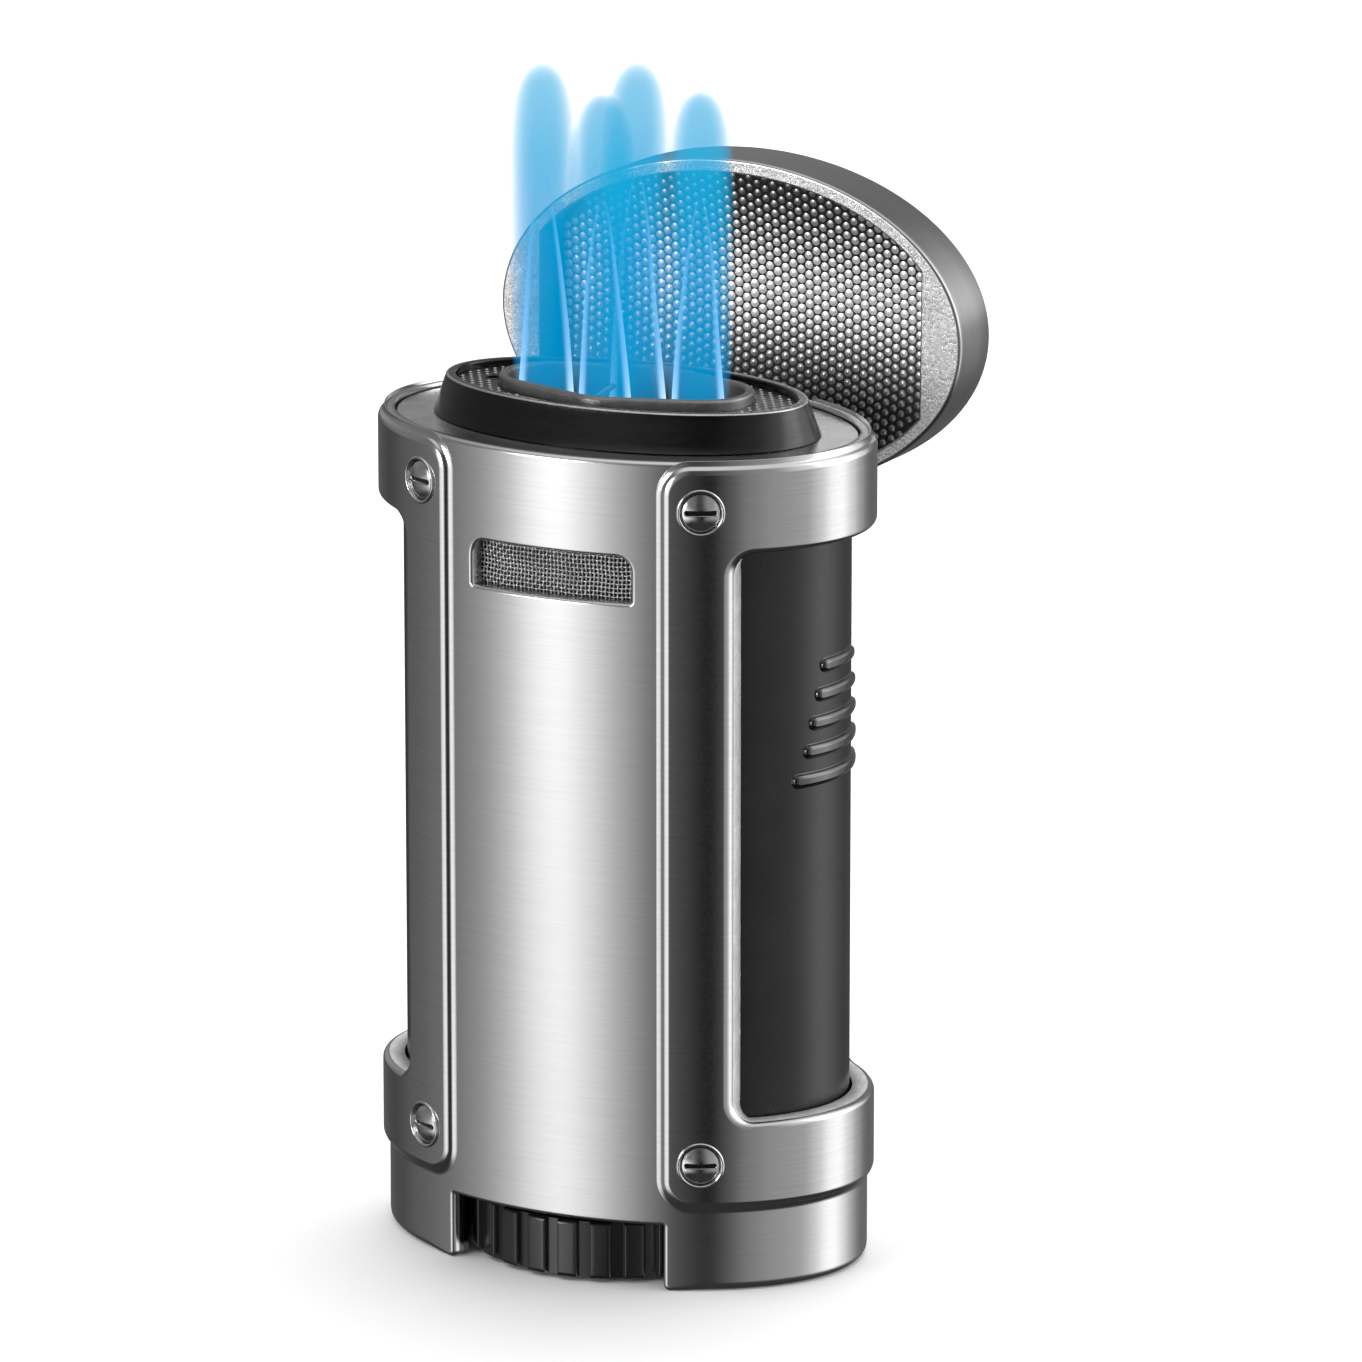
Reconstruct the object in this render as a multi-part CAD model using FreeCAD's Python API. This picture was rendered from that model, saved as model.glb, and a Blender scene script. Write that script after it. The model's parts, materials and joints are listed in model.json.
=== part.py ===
import FreeCAD, Part
import math
import os

# Pocket torch lighter with four jets, flip lid, side trigger and flame wheel.
# Millimetres. +Z up, origin at the centre of the oval foot. The front (air slot) faces -Y,
# the trigger is on the +X end. The lid is modelled closed, then swung open about its hinge.

os.makedirs("parts", exist_ok=True)
V = FreeCAD.Vector
X_AXIS = V(1, 0, 0)
Y_AXIS = V(0, 1, 0)
Z_AXIS = V(0, 0, 1)
NODES = {}

# ---------------------------------------------------------------- driving dimensions
SHELL_AX, SHELL_AY = 21.45, 14.75      # body shell, semi-axes of the oval
SHELL_WALL = 1.2
SHELL_H = 71.3
IN_AX, IN_AY = SHELL_AX - SHELL_WALL, SHELL_AY - SHELL_WALL
FRAME_AX, FRAME_AY = 22.0, 15.3        # side frames stand proud of the shell
FRAME_EDGE_X = 9.9                     # front and rear edges of the side frames
FRAME_Z0, FRAME_Z1 = 7.45, 70.9
FRAME_CORNER_R = 2.4
WINDOW_X = 14.8                        # side windows
WINDOW_Z0, WINDOW_Z1 = 14.7, 63.65
WINDOW_CORNER_R = 2.0
SLOT_HALF, SLOT_Z0, SLOT_Z1 = 7.35, 59.25, 63.15
SLOT_CORNER_R = 1.3
NOTCH_HALF, NOTCH_Z = 9.9, 5.7         # thumb notch of the flame wheel
REAR_NOTCH_HALF, REAR_NOTCH_Z = 7.95, 60.4

PANEL_AX, PANEL_AY = 19.9, 13.2        # side cover and trigger panel
PANEL_T = 1.2
PANEL_X = 12.6
PANEL_Z0, PANEL_Z1 = 12.9, 64.9
RIBS = [(52.8, 2.9), (50.4, 3.45), (48.05, 4.05), (45.7, 4.55), (43.3, 5.5)]  # height, half length
RIB_H, RIB_PROUD, RIB_ROUND = 1.15, 0.4, 0.38

SCREW_X = 13.0                         # frame screws
SCREW_ZS = [11.2, 67.2]
SCREW_HEAD_R, SCREW_SHANK_R = 1.7, 0.8
BOSS_X, BOSS_Y, BOSS_R = 10.7, 8.4, 2.2

BASE_LIP_Z, BASE_TOP_Z = 5.4, 7.4
BASE_SCREWS = [(14.2, 7.2), (-14.2, 7.2), (17.2, 0.0)]
CHASSIS_TOP_Z = 9.2
WHEEL_Y, WHEEL_R = -1.4, 13.0
WHEEL_Z0, WHEEL_Z1 = 0.35, 5.25
WHEEL_GROOVES, GROOVE_HALF, GROOVE_DEPTH = 28, 0.55, 0.5
SPINDLE_R = 1.5
REFILL_X = -15.7
REFILL_BORE_R, REFILL_BORE_Z = 1.6, 4.1

TANK_AX, TANK_AY, TANK_X1, TANK_WALL = 17.9, 11.4, 9.8, 1.2
TANK_Z0, TANK_Z1, SEAL_T, CAP_TOP_Z = 14.0, 40.4, 0.6, 43.0

VALVE_X, VALVE_Y = 0.0, -5.4
LEVER_X, LEVER_Z, LEVER_END_X = 5.6, 46.0, 12.2
PIEZO_Y, PIEZO_Z = 2.6, 48.0
TRIGGER_X, TRIGGER_Z = 15.8, 14.5      # trigger pivot, axis along Y

DECK_AX, DECK_AY, DECK_Z0, DECK_Z1 = 19.85, 13.15, 68.9, 70.9
FLANGE_AX, FLANGE_AY, FLANGE_Z0, FLANGE_GAP = 20.35, 13.65, 69.9, 0.25
COLLAR_AX0, COLLAR_AY0, COLLAR_AX1, COLLAR_AY1, COLLAR_Z = 17.3, 10.5, 16.25, 8.75, 74.05
COLLAR_IN_AX, COLLAR_IN_AY = 15.45, 7.95
SCREEN_Z0, SCREEN_Z1 = 73.0, 73.6
JET_X, JET_Y, JET_R = 7.2, 3.2, 2.2
GUARD_END, GUARD_END_R, GUARD_SIDE, GUARD_SIDE_R = 7.0, 4.4, 3.1, 3.6
GUARD_WALL, GUARD_Z = 0.8, 74.4
ELECTRODE_X = -2.9

LID_AX, LID_AY = 21.7, 14.3
LID_WALL = 1.25
LID_Z0, LID_Z1, LID_ROUND = 71.65, 77.7, 0.4   # closed position
POCKET_X = 17.9
POCKET_FACE_Z, POCKET_FLOOR_Z = 75.25, 76.0
PLATE_BEND_R, PLATE_T = 51.0, 0.55
HINGE_Y, HINGE_Z, LID_OPEN_DEG = 11.42, 63.91, 91.0
HINGE_PIN_R, BARREL_R = 1.0, 1.9
LATCH_Y, LATCH_Z = 7.2, 58.0


# ---------------------------------------------------------------- helpers
def save(name, *shapes):
    """Keep a node as one solid, or as a group of separate solids."""
    solids = [solid for shape in shapes for solid in shape.Solids]
    NODES[name] = solids[0] if len(solids) == 1 else Part.makeCompound(solids)


def box(x0, x1, y0, y1, z0, z1):
    return Part.makeBox(x1 - x0, y1 - y0, z1 - z0, V(x0, y0, z0))


def cyl(r, x, y, z0, z1):
    return Part.makeCylinder(r, z1 - z0, V(x, y, z0), Z_AXIS)


def rod_x(r, x0, x1, y, z):
    return Part.makeCylinder(r, x1 - x0, V(x0, y, z), X_AXIS)


def rod_y(r, x, y0, y1, z):
    return Part.makeCylinder(r, y1 - y0, V(x, y0, z), Y_AXIS)


def oval_wire(ax, ay, z):
    return Part.Wire(Part.Ellipse(V(0, 0, z), ax, ay).toShape())


def oval(ax, ay, z0, z1):
    return Part.Face(oval_wire(ax, ay, z0)).extrude(V(0, 0, z1 - z0))


def oval_ring(ax, ay, wall, z0, z1):
    return oval(ax, ay, z0, z1).cut(oval(ax - wall, ay - wall, z0 - 1, z1 + 1))


def round_rim(solid, z, r):
    """Round the closed edges of an oval solid that lie at height z."""
    edges = [e for e in solid.Edges if abs(e.BoundBox.ZMin - z) < 1e-4 and abs(e.BoundBox.ZMax - z) < 1e-4]
    return solid.makeFillet(r, edges)


def mirror_x(shape):
    return shape.mirror(V(0, 0, 0), X_AXIS)


def mirror_y(shape):
    return shape.mirror(V(0, 0, 0), Y_AXIS)


def lozenge(end, end_r, side, side_r, z0, z1):
    """Rounded diamond: the hull of two circles on X and two on Y."""
    gap = math.hypot(end, side)
    tilt = math.atan2(side, -end)
    turn = tilt - math.acos((end_r - side_r) / gap)
    nx, ny = math.cos(turn), math.sin(turn)
    p_end = (end + end_r * nx, end_r * ny)
    p_side = (side_r * nx, side + side_r * ny)
    lines, arcs = [], []
    for sx, sy in ((1, 1), (-1, 1), (-1, -1), (1, -1)):
        lines.append(Part.LineSegment(V(sx * p_end[0], sy * p_end[1], z0), V(sx * p_side[0], sy * p_side[1], z0)))
    for s in (1, -1):
        arcs.append(Part.Arc(V(s * p_end[0], -p_end[1], z0), V(s * (end + end_r), 0, z0),
                             V(s * p_end[0], p_end[1], z0)))
        arcs.append(Part.Arc(V(-p_side[0], s * p_side[1], z0), V(0, s * (side + side_r), z0),
                             V(p_side[0], s * p_side[1], z0)))
    edges = [g.toShape() for g in lines + arcs]
    wire = Part.Wire(Part.__sortEdges__(edges))
    return Part.Face(wire).extrude(V(0, 0, z1 - z0))


def slab_xz(x0, x1, z0, z1, r):
    """Plate through the whole depth whose two corners at x0 are rounded."""
    plate = box(x0, x1, -30, 30, z0, z1)
    edges = []
    for e in plate.Edges:
        if e.BoundBox.YLength > 50 and abs(e.BoundBox.XMin - x0) < 1e-4:
            edges.append(e)
    return plate.makeFillet(r, edges)


def tube_path(points, r, hole_r=0.0):
    """Round tube or wire through the points, with rounded bends."""
    pts = [V(*p) for p in points]
    bend = 2.2 * r + 0.4
    edges = []
    start = pts[0]
    for a, b, c in zip(pts, pts[1:], pts[2:]):
        u = (a - b).normalize()
        w = (c - b).normalize()
        half = u.getAngle(w) / 2
        leg = bend / math.tan(half)
        centre_dir = (u + w).normalize()
        p0 = b + u * leg
        p1 = b + w * leg
        mid = b + centre_dir * (bend / math.sin(half) - bend)
        edges.append(Part.makeLine(start, p0))
        edges.append(Part.Arc(p0, mid, p1).toShape())
        start = p1
    edges.append(Part.makeLine(start, pts[-1]))
    path = Part.Wire(edges)
    solids = []
    for radius in (r, hole_r):
        if radius > 0:
            ring = Part.Wire(Part.makeCircle(radius, pts[0], pts[1] - pts[0]))
            solids.append(path.makePipeShell([ring], True, False))
    return solids[0] if len(solids) == 1 else solids[0].cut(solids[1])


def coil(r, wire_r, pitch, length):
    """Helical spring standing on the origin along Z."""
    helix = Part.makeHelix(pitch, length, r)
    ring = Part.Wire(Part.makeCircle(wire_r, V(r, 0, 0), Y_AXIS))
    return Part.Wire(helix).makePipeShell([ring], True, True)


def flat_ring(r_out, r_in, x, y, z0, z1):
    return cyl(r_out, x, y, z0, z1).cut(cyl(r_in, x, y, z0 - 1, z1 + 1))


# ---------------------------------------------------------------- frame screws (axis normal to the oval)
SCREW_Y = FRAME_AY * math.sqrt(1 - (SCREW_X / FRAME_AX) ** 2)
SCREW_OUT = V(SCREW_X / FRAME_AX ** 2, -SCREW_Y / FRAME_AY ** 2, 0).normalize()
HEAD_SEAT, HEAD_PROUD, SCREW_LENGTH = 0.35, 0.3, 5.6


def screw_cyl(r, z, depth0, depth1):
    """Cylinder on the axis of the front right screw between two depths below the frame surface."""
    start = V(SCREW_X, -SCREW_Y, z) - SCREW_OUT * depth1
    return Part.makeCylinder(r, depth1 - depth0, start, SCREW_OUT)


def four_ways(shape):
    front = [shape, mirror_x(shape)]
    return front + [mirror_y(s) for s in front]


def frame_screw(z):
    head = screw_cyl(SCREW_HEAD_R, z, -HEAD_PROUD, HEAD_SEAT)
    rim = [e for e in head.Edges if e.Curve.TypeId == "Part::GeomCircle"]
    outer = max(rim, key=lambda e: e.CenterOfMass.dot(SCREW_OUT))
    head = head.makeFillet(0.28, [outer])
    slot = Part.makeBox(0.55, 5, 0.5, V(-0.15, -2.5, -0.25))
    slot.rotate(V(0, 0, 0), Z_AXIS, math.degrees(math.atan2(SCREW_OUT.y, SCREW_OUT.x)))
    slot.translate(V(SCREW_X, -SCREW_Y, z))
    return head.fuse(screw_cyl(SCREW_SHANK_R, z, HEAD_SEAT, SCREW_LENGTH)).cut(slot)


front_screws, rear_screws, screw_holes, screw_seats, boss_holes = [], [], [], [], []
for z in SCREW_ZS:
    screw = frame_screw(z)
    front_screws += [screw, mirror_x(screw)]
    rear_screws += [mirror_y(screw), mirror_y(mirror_x(screw))]
    screw_holes += four_ways(screw_cyl(SCREW_SHANK_R + 0.05, z, -1, 2.4))
    screw_seats += four_ways(screw_cyl(SCREW_HEAD_R + 0.15, z, -1, HEAD_SEAT))
    boss_holes += four_ways(screw_cyl(SCREW_SHANK_R + 0.02, z, 0, SCREW_LENGTH + 0.3))
save("frame_screws_front", *front_screws)
save("frame_screws_rear", *rear_screws)

# ---------------------------------------------------------------- body shell
window_right = slab_xz(WINDOW_X, 40, WINDOW_Z0, WINDOW_Z1, WINDOW_CORNER_R)
windows = [window_right, mirror_x(window_right)]
shell = round_rim(oval(SHELL_AX, SHELL_AY, 0, SHELL_H), 0, 0.9)
shell = round_rim(shell, SHELL_H, 0.4)
shell = shell.cut([oval(IN_AX, IN_AY, -1, SHELL_H + 1),
                   oval(FLANGE_AX + FLANGE_GAP, FLANGE_AY + FLANGE_GAP, FLANGE_Z0, SHELL_H + 1)])
slot = box(-SLOT_HALF, SLOT_HALF, -20, 0, SLOT_Z0, SLOT_Z1)
top_edges = [e for e in slot.Edges if e.BoundBox.YLength > 15 and e.BoundBox.ZMin > SLOT_Z1 - 0.01]
slot = slot.makeFillet(SLOT_CORNER_R, top_edges)
notch = box(-NOTCH_HALF, NOTCH_HALF, -20, 0, -1, NOTCH_Z)
rear_notch = box(-REAR_NOTCH_HALF, REAR_NOTCH_HALF, 0, 20, REAR_NOTCH_Z, SHELL_H + 1)
save("body_shell", shell.cut(windows + [slot, notch, rear_notch] + screw_holes))

# ---------------------------------------------------------------- side frames
ring = round_rim(oval(FRAME_AX, FRAME_AY, FRAME_Z0, FRAME_Z1), FRAME_Z1, 0.45)
ring = round_rim(ring, FRAME_Z0, 0.3)
ring = ring.cut(oval(SHELL_AX + 0.01, SHELL_AY + 0.01, 0, 80))
side = slab_xz(FRAME_EDGE_X, 30, FRAME_Z0, FRAME_Z1, FRAME_CORNER_R)
frame_right = ring.common(side).cut(windows + screw_holes + screw_seats)
save("side_frame_right", frame_right)
save("side_frame_left", mirror_x(frame_right))

# ---------------------------------------------------------------- foot: base plate, wheel, regulator
base = oval(IN_AX - 0.05, IN_AY - 0.05, 0, BASE_TOP_Z)
wheel_room = cyl(WHEEL_R + 0.3, 0, WHEEL_Y, -1, BASE_LIP_Z)
front_room = box(-NOTCH_HALF, NOTCH_HALF, -20, WHEEL_Y, -1, BASE_LIP_Z)
posts = four_ways(cyl(BOSS_R, BOSS_X, -BOSS_Y, BASE_TOP_Z, 12.6))
spindle_hole = cyl(SPINDLE_R + 0.1, 0, WHEEL_Y, -1, 12)
refill_hole = cyl(2.15, REFILL_X, 0, -1, 12)
base_screw_holes = []
base_screws = []
for x, y in BASE_SCREWS:
    head = round_rim(cyl(1.35, x, y, 0.15, 1.1), 0.15, 0.2)
    cross = box(x - 0.9, x + 0.9, y - 0.2, y + 0.2, 0, 0.6).fuse(box(x - 0.2, x + 0.2, y - 0.9, y + 0.9, 0, 0.6))
    base_screws.append(head.fuse(cyl(0.7, x, y, 1.1, 9.0)).cut(cross))
    base_screw_holes += [cyl(1.5, x, y, -1, 1.1), cyl(0.75, x, y, 0, 9.05)]
base = base.fuse(posts).cut([wheel_room, front_room, spindle_hole, refill_hole] + base_screw_holes + boss_holes)
save("base_plate", base)
save("base_screws", *base_screws)

wheel = round_rim(cyl(WHEEL_R, 0, WHEEL_Y, WHEEL_Z0, WHEEL_Z1), WHEEL_Z0, 0.4)
grooves = []
for i in range(WHEEL_GROOVES):
    groove = box(WHEEL_R - GROOVE_DEPTH, WHEEL_R + 1, -GROOVE_HALF, GROOVE_HALF, WHEEL_Z0 - 1, WHEEL_Z1 + 1)
    groove.rotate(V(0, 0, 0), Z_AXIS, 360 * (i + 0.5) / WHEEL_GROOVES)
    groove.translate(V(0, WHEEL_Y, 0))
    grooves.append(groove)
dish = flat_ring(10.5, 4.5, 0, WHEEL_Y, WHEEL_Z0 - 1, WHEEL_Z0 + 0.6)
wheel = wheel.cut(grooves + [dish, cyl(2.3, 0, WHEEL_Y, -1, 1.6), cyl(SPINDLE_R, 0, WHEEL_Y, 0, 6)])
save("flame_adjust_wheel", wheel)
wheel_screw = round_rim(cyl(2.15, 0, WHEEL_Y, 0.5, 1.6), 0.5, 0.25).fuse(cyl(0.9, 0, WHEEL_Y, 1.6, 5.5))
save("wheel_screw", wheel_screw.cut(box(-3, 3, WHEEL_Y - 0.3, WHEEL_Y + 0.3, 0, 0.95)))
tip = Part.makeCone(SPINDLE_R, 0.4, 2.5, V(0, WHEEL_Y, 16.5), Z_AXIS)
spindle = cyl(SPINDLE_R, 0, WHEEL_Y, 1.6, 16.5).fuse(tip).cut(cyl(0.9, 0, WHEEL_Y, 1, 6))
save("regulator_spindle", spindle)

# ---------------------------------------------------------------- lower chassis
chassis = oval(IN_AX - 0.1, IN_AY - 0.1, BASE_TOP_Z, CHASSIS_TOP_Z)
post_room = four_ways(cyl(BOSS_R + 0.2, BOSS_X, -BOSS_Y, 0, 20))
pillars = four_ways(cyl(1.2, 6.0, -7.0, CHASSIS_TOP_Z, TANK_Z0))
lugs = []
for s in (-1, 1):
    y0, y1 = (1.9, 3.1) if s > 0 else (-3.1, -1.9)
    foot = box(TRIGGER_X - 1.5, TRIGGER_X + 1.5, y0, y1, CHASSIS_TOP_Z, TRIGGER_Z)
    lugs.append(foot.fuse(rod_y(1.5, TRIGGER_X, y0, y1, TRIGGER_Z)))
chassis = chassis.cut(post_room + [spindle_hole, refill_hole] + base_screw_holes)
chassis = chassis.fuse(pillars + lugs).cut(rod_y(0.8, TRIGGER_X, -9, 9, TRIGGER_Z))
save("lower_chassis", chassis)
save("trigger_pivot_pin", rod_y(0.8, TRIGGER_X, -4.6, 4.6, TRIGGER_Z))
spring = coil(1.2, 0.2, 0.55, 3.0)
spring.rotate(V(0, 0, 0), X_AXIS, -90)
spring.translate(V(TRIGGER_X, -1.5, TRIGGER_Z))
save("trigger_torsion_spring", spring)

# ---------------------------------------------------------------- fuel tank and regulator bushing
tank_side = box(-30, TANK_X1, -20, 20, 0, 60)
tank_room = box(-30, TANK_X1 - TANK_WALL, -20, 20, 0, 60)
outline = oval(TANK_AX, TANK_AY, TANK_Z0, TANK_Z1).common(tank_side)
cavity = oval(TANK_AX - TANK_WALL, TANK_AY - TANK_WALL, TANK_Z0 + TANK_WALL, TANK_Z1 + 2).common(tank_room)
bushing_hole = cyl(2.62, 0, WHEEL_Y, TANK_Z0 - 1, TANK_Z0 + 2)
neck_hole = cyl(1.25, REFILL_X, 0, TANK_Z0 - 1, 16.5)
save("fuel_tank", outline.cut([cavity, bushing_hole, neck_hole]))
SEAL_TOP_Z = TANK_Z1 + SEAL_T
seal = oval(TANK_AX, TANK_AY, TANK_Z1, SEAL_TOP_Z).common(tank_side)
seal = seal.cut(oval(TANK_AX - TANK_WALL, TANK_AY - TANK_WALL, TANK_Z1 - 1, SEAL_TOP_Z + 1).common(tank_room))
save("tank_seal", seal)
cap = oval(TANK_AX, TANK_AY, SEAL_TOP_Z, CAP_TOP_Z).common(tank_side)
save("tank_cap", cap.cut(cyl(2.42, VALVE_X, VALVE_Y, 30, 50)))
bushing = cyl(2.6, 0, WHEEL_Y, CHASSIS_TOP_Z, 16.0).fuse(cyl(3.3, 0, WHEEL_Y, CHASSIS_TOP_Z, 10.4))
save("regulator_bushing", bushing.cut(cyl(SPINDLE_R + 0.05, 0, WHEEL_Y, 5, 20)))
save("regulator_seal", flat_ring(3.5, 2.6, 0, WHEEL_Y, 12.9, TANK_Z0))

# ---------------------------------------------------------------- refill valve
refill = cyl(2.1, REFILL_X, 0, 0.9, CHASSIS_TOP_Z)
refill = refill.fuse([cyl(2.7, REFILL_X, 0, CHASSIS_TOP_Z, 12.0), cyl(1.2, REFILL_X, 0, 12.0, 16.0)])
refill_rooms = [cyl(REFILL_BORE_R, REFILL_X, 0, 0, REFILL_BORE_Z), cyl(1.35, REFILL_X, 0, 3, 8.7),
                cyl(0.5, REFILL_X, 0, 8, 17)]
save("refill_valve_body", refill.cut(refill_rooms))
save("refill_valve_seal", flat_ring(2.4, 1.2, REFILL_X, 0, 12.0, TANK_Z0))
save("refill_valve_stem", cyl(1.28, REFILL_X, 0, 4.15, 5.3).fuse(cyl(0.4, REFILL_X, 0, 5.3, 7.2)))
spring = coil(0.9, 0.15, 0.6, 2.9)
spring.translate(V(REFILL_X, 0, 5.5))
save("refill_valve_spring", spring)

# ---------------------------------------------------------------- outlet valve
valve = cyl(2.4, VALVE_X, VALVE_Y, 38.5, CAP_TOP_Z).fuse(cyl(3.0, VALVE_X, VALVE_Y, CAP_TOP_Z, 45.2))
valve = valve.fuse(rod_x(0.6, VALVE_X - 4.6, VALVE_X - 2.5, VALVE_Y, 44.2))
valve_rooms = [cyl(0.8, VALVE_X, VALVE_Y, 38, 42), cyl(1.9, VALVE_X, VALVE_Y, 41.8, 44.5),
               cyl(1.06, VALVE_X, VALVE_Y, 44, 46), rod_x(0.3, VALVE_X - 5, VALVE_X - 1, VALVE_Y, 44.2)]
save("outlet_valve_body", valve.cut(valve_rooms))
save("outlet_valve_seal", flat_ring(3.1, 2.4, VALVE_X, VALVE_Y, 40.2, SEAL_TOP_Z))
stem = cyl(1.0, VALVE_X, VALVE_Y, 41.9, 49.5).fuse(cyl(1.75, VALVE_X, VALVE_Y, 41.9, 42.6))
save("valve_stem", stem.fuse(cyl(1.7, VALVE_X, VALVE_Y, 46.95, 47.75)))
spring = coil(1.45, 0.15, 0.7, 1.4)
spring.translate(V(VALVE_X, VALVE_Y, 42.78))
save("valve_spring", spring)

# ---------------------------------------------------------------- igniter cradle, piezo, gas lever
PIEZO_Y0, PIEZO_Y1 = PIEZO_Y - 3.9, PIEZO_Y + 3.9
cradle = box(-7, 9.4, PIEZO_Y0 - 0.8, PIEZO_Y1 + 0.8, CAP_TOP_Z, 44.05)
cradle = cradle.fuse([box(-7, 9.4, PIEZO_Y0 - 0.8, PIEZO_Y0 - 0.1, 44, 49),
                      box(-7, 9.4, PIEZO_Y1 + 0.1, PIEZO_Y1 + 0.8, 44, 53),
                      box(4.0, 7.2, -8.2, PIEZO_Y0, CAP_TOP_Z, 44.05)])
for y0, y1 in ((-8.1, -6.9), (-3.7, -2.5)):
    cradle = cradle.fuse(box(LEVER_X - 1.2, LEVER_X + 1.2, y0, y1, 44, LEVER_Z))
    cradle = cradle.fuse(rod_y(1.2, LEVER_X, y0, y1, LEVER_Z))
for x0, x1 in ((1.7, 2.9), (5.7, 6.9)):
    cradle = cradle.fuse(box(x0, x1, LATCH_Y - 0.6, LATCH_Y + 0.1, 49, 53))
    cradle = cradle.fuse(box(x0, x1, LATCH_Y - 0.9, LATCH_Y + 0.9, 52, LATCH_Z))
    cradle = cradle.fuse(rod_x(0.9, x0, x1, LATCH_Y, LATCH_Z))
cradle = cradle.cut([rod_y(0.6, LEVER_X, -9, -2, LEVER_Z), rod_x(0.6, 0, 9, LATCH_Y, LATCH_Z)])
save("igniter_cradle", cradle)
save("gas_lever_pin", rod_y(0.6, LEVER_X, -8.1, -2.5, LEVER_Z))
save("latch_pin", rod_x(0.6, 1.7, 6.9, LATCH_Y, LATCH_Z))

piezo = box(-6.2, 10.8, PIEZO_Y0, PIEZO_Y1, PIEZO_Z - 3.9, PIEZO_Z + 3.9)
piezo_room = box(-3, 12, PIEZO_Y - 2.8, PIEZO_Y + 2.8, PIEZO_Z - 2.8, PIEZO_Z + 2.8)
save("piezo_housing", piezo.cut(piezo_room))
plunger = box(2, 16.0, PIEZO_Y - 2.7, PIEZO_Y + 2.7, PIEZO_Z - 2.7, PIEZO_Z + 2.7)
nose_edges = [e for e in plunger.Edges if e.BoundBox.XMin > 15.9]
save("piezo_plunger", plunger.makeFillet(0.6, nose_edges))
HIGH_VOLTAGE_LINE = [(-6.2, PIEZO_Y, PIEZO_Z), (-9.0, PIEZO_Y, PIEZO_Z), (-9.0, PIEZO_Y, 55.0),
                     (ELECTRODE_X, 0, 57.0), (ELECTRODE_X, 0, 59.0)]
save("high_voltage_wire", tube_path(HIGH_VOLTAGE_LINE, 0.5))

lever = box(1.6, LEVER_END_X, -5.9, -4.6, LEVER_Z - 0.6, LEVER_Z + 0.6)
lever = lever.fuse(box(3.6, 7.4, -6.4, -4.1, LEVER_Z - 0.6, LEVER_Z + 0.6))
lever = lever.fuse(box(1.6, 2.8, -7.6, -3.2, LEVER_Z - 0.6, LEVER_Z + 0.6))
lever = lever.fuse(rod_y(0.6, LEVER_END_X, -5.9, -4.6, LEVER_Z))
lever = lever.fuse(rod_y(1.15, LEVER_X, -6.4, -4.1, LEVER_Z))
for y0, y1 in ((-7.6, -6.6), (-4.2, -3.2)):
    lever = lever.fuse(box(-1.4, 2.0, y0, y1, LEVER_Z - 0.5, LEVER_Z + 0.6))
    lever = lever.fuse(rod_y(0.5, VALVE_X, y0, y1, LEVER_Z + 0.4))
save("gas_lever", lever.cut(rod_y(0.65, LEVER_X, -9, -2, LEVER_Z)))
GAS_LINE = [(VALVE_X - 3.05, VALVE_Y, 44.2), (-9.5, VALVE_Y, 44.2), (-9.5, VALVE_Y, 53.0),
            (-JET_X, 0, 57.5), (-JET_X, 0, 62.0)]
save("gas_tube", tube_path(GAS_LINE, 1.1, 0.6))

# ---------------------------------------------------------------- side cover and trigger
panel = oval_ring(PANEL_AX, PANEL_AY, PANEL_T, PANEL_Z0, PANEL_Z1).common(box(PANEL_X, 30, -20, 20, 0, 80))
feet = oval_ring(PANEL_AX, PANEL_AY, PANEL_T, CHASSIS_TOP_Z, PANEL_Z0 + 1)
feet = feet.common(box(-30, -PANEL_X, -6.5, -3.5, 0, 80).fuse(box(-30, -PANEL_X, 3.5, 6.5, 0, 80)))
save("side_cover_left", mirror_x(panel).fuse(feet))

trigger = panel
for z, half in RIBS:
    z0, z1 = z - RIB_H / 2, z + RIB_H / 2
    bead = oval(PANEL_AX + RIB_PROUD, PANEL_AY + RIB_PROUD, z0, z1)
    bead = round_rim(round_rim(bead, z0, RIB_ROUND), z1, RIB_ROUND)
    end_y = half - RIB_H / 2
    length = box(PANEL_X, 30, -end_y, end_y, z0, z1)
    for y in (-end_y, end_y):
        length = length.fuse(rod_x(RIB_H / 2, PANEL_X, 30, y, z))
    trigger = trigger.fuse(bead.cut(oval(PANEL_AX - 0.6, PANEL_AY - 0.6, 0, 80)).common(length))
for s in (-1, 1):
    y0, y1 = (3.4, 4.6) if s > 0 else (-4.6, -3.4)
    ear = box(TRIGGER_X, 17.9, y0, y1, 13.0, 16.0).fuse(rod_y(1.5, TRIGGER_X, y0, y1, TRIGGER_Z))
    trigger = trigger.fuse(ear)
pad = box(17.5, 18.3, 1.2, 3.6, PIEZO_Z - 1.4, PIEZO_Z + 1.4).fuse(rod_y(1.4, 17.5, 1.2, 3.6, PIEZO_Z))
NOSE_SLOPE, NOSE_GAP, NOSE_TIP_X, NOSE_ROOT_X = math.radians(25), 0.68, 11.6, 16.9


def nose_z(x):
    """Sloping underside of the nose that presses the gas lever down."""
    x_touch = LEVER_END_X + NOSE_GAP * math.sin(NOSE_SLOPE)
    z_touch = LEVER_Z + NOSE_GAP * math.cos(NOSE_SLOPE)
    return z_touch - (x - x_touch) * math.tan(NOSE_SLOPE)


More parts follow.
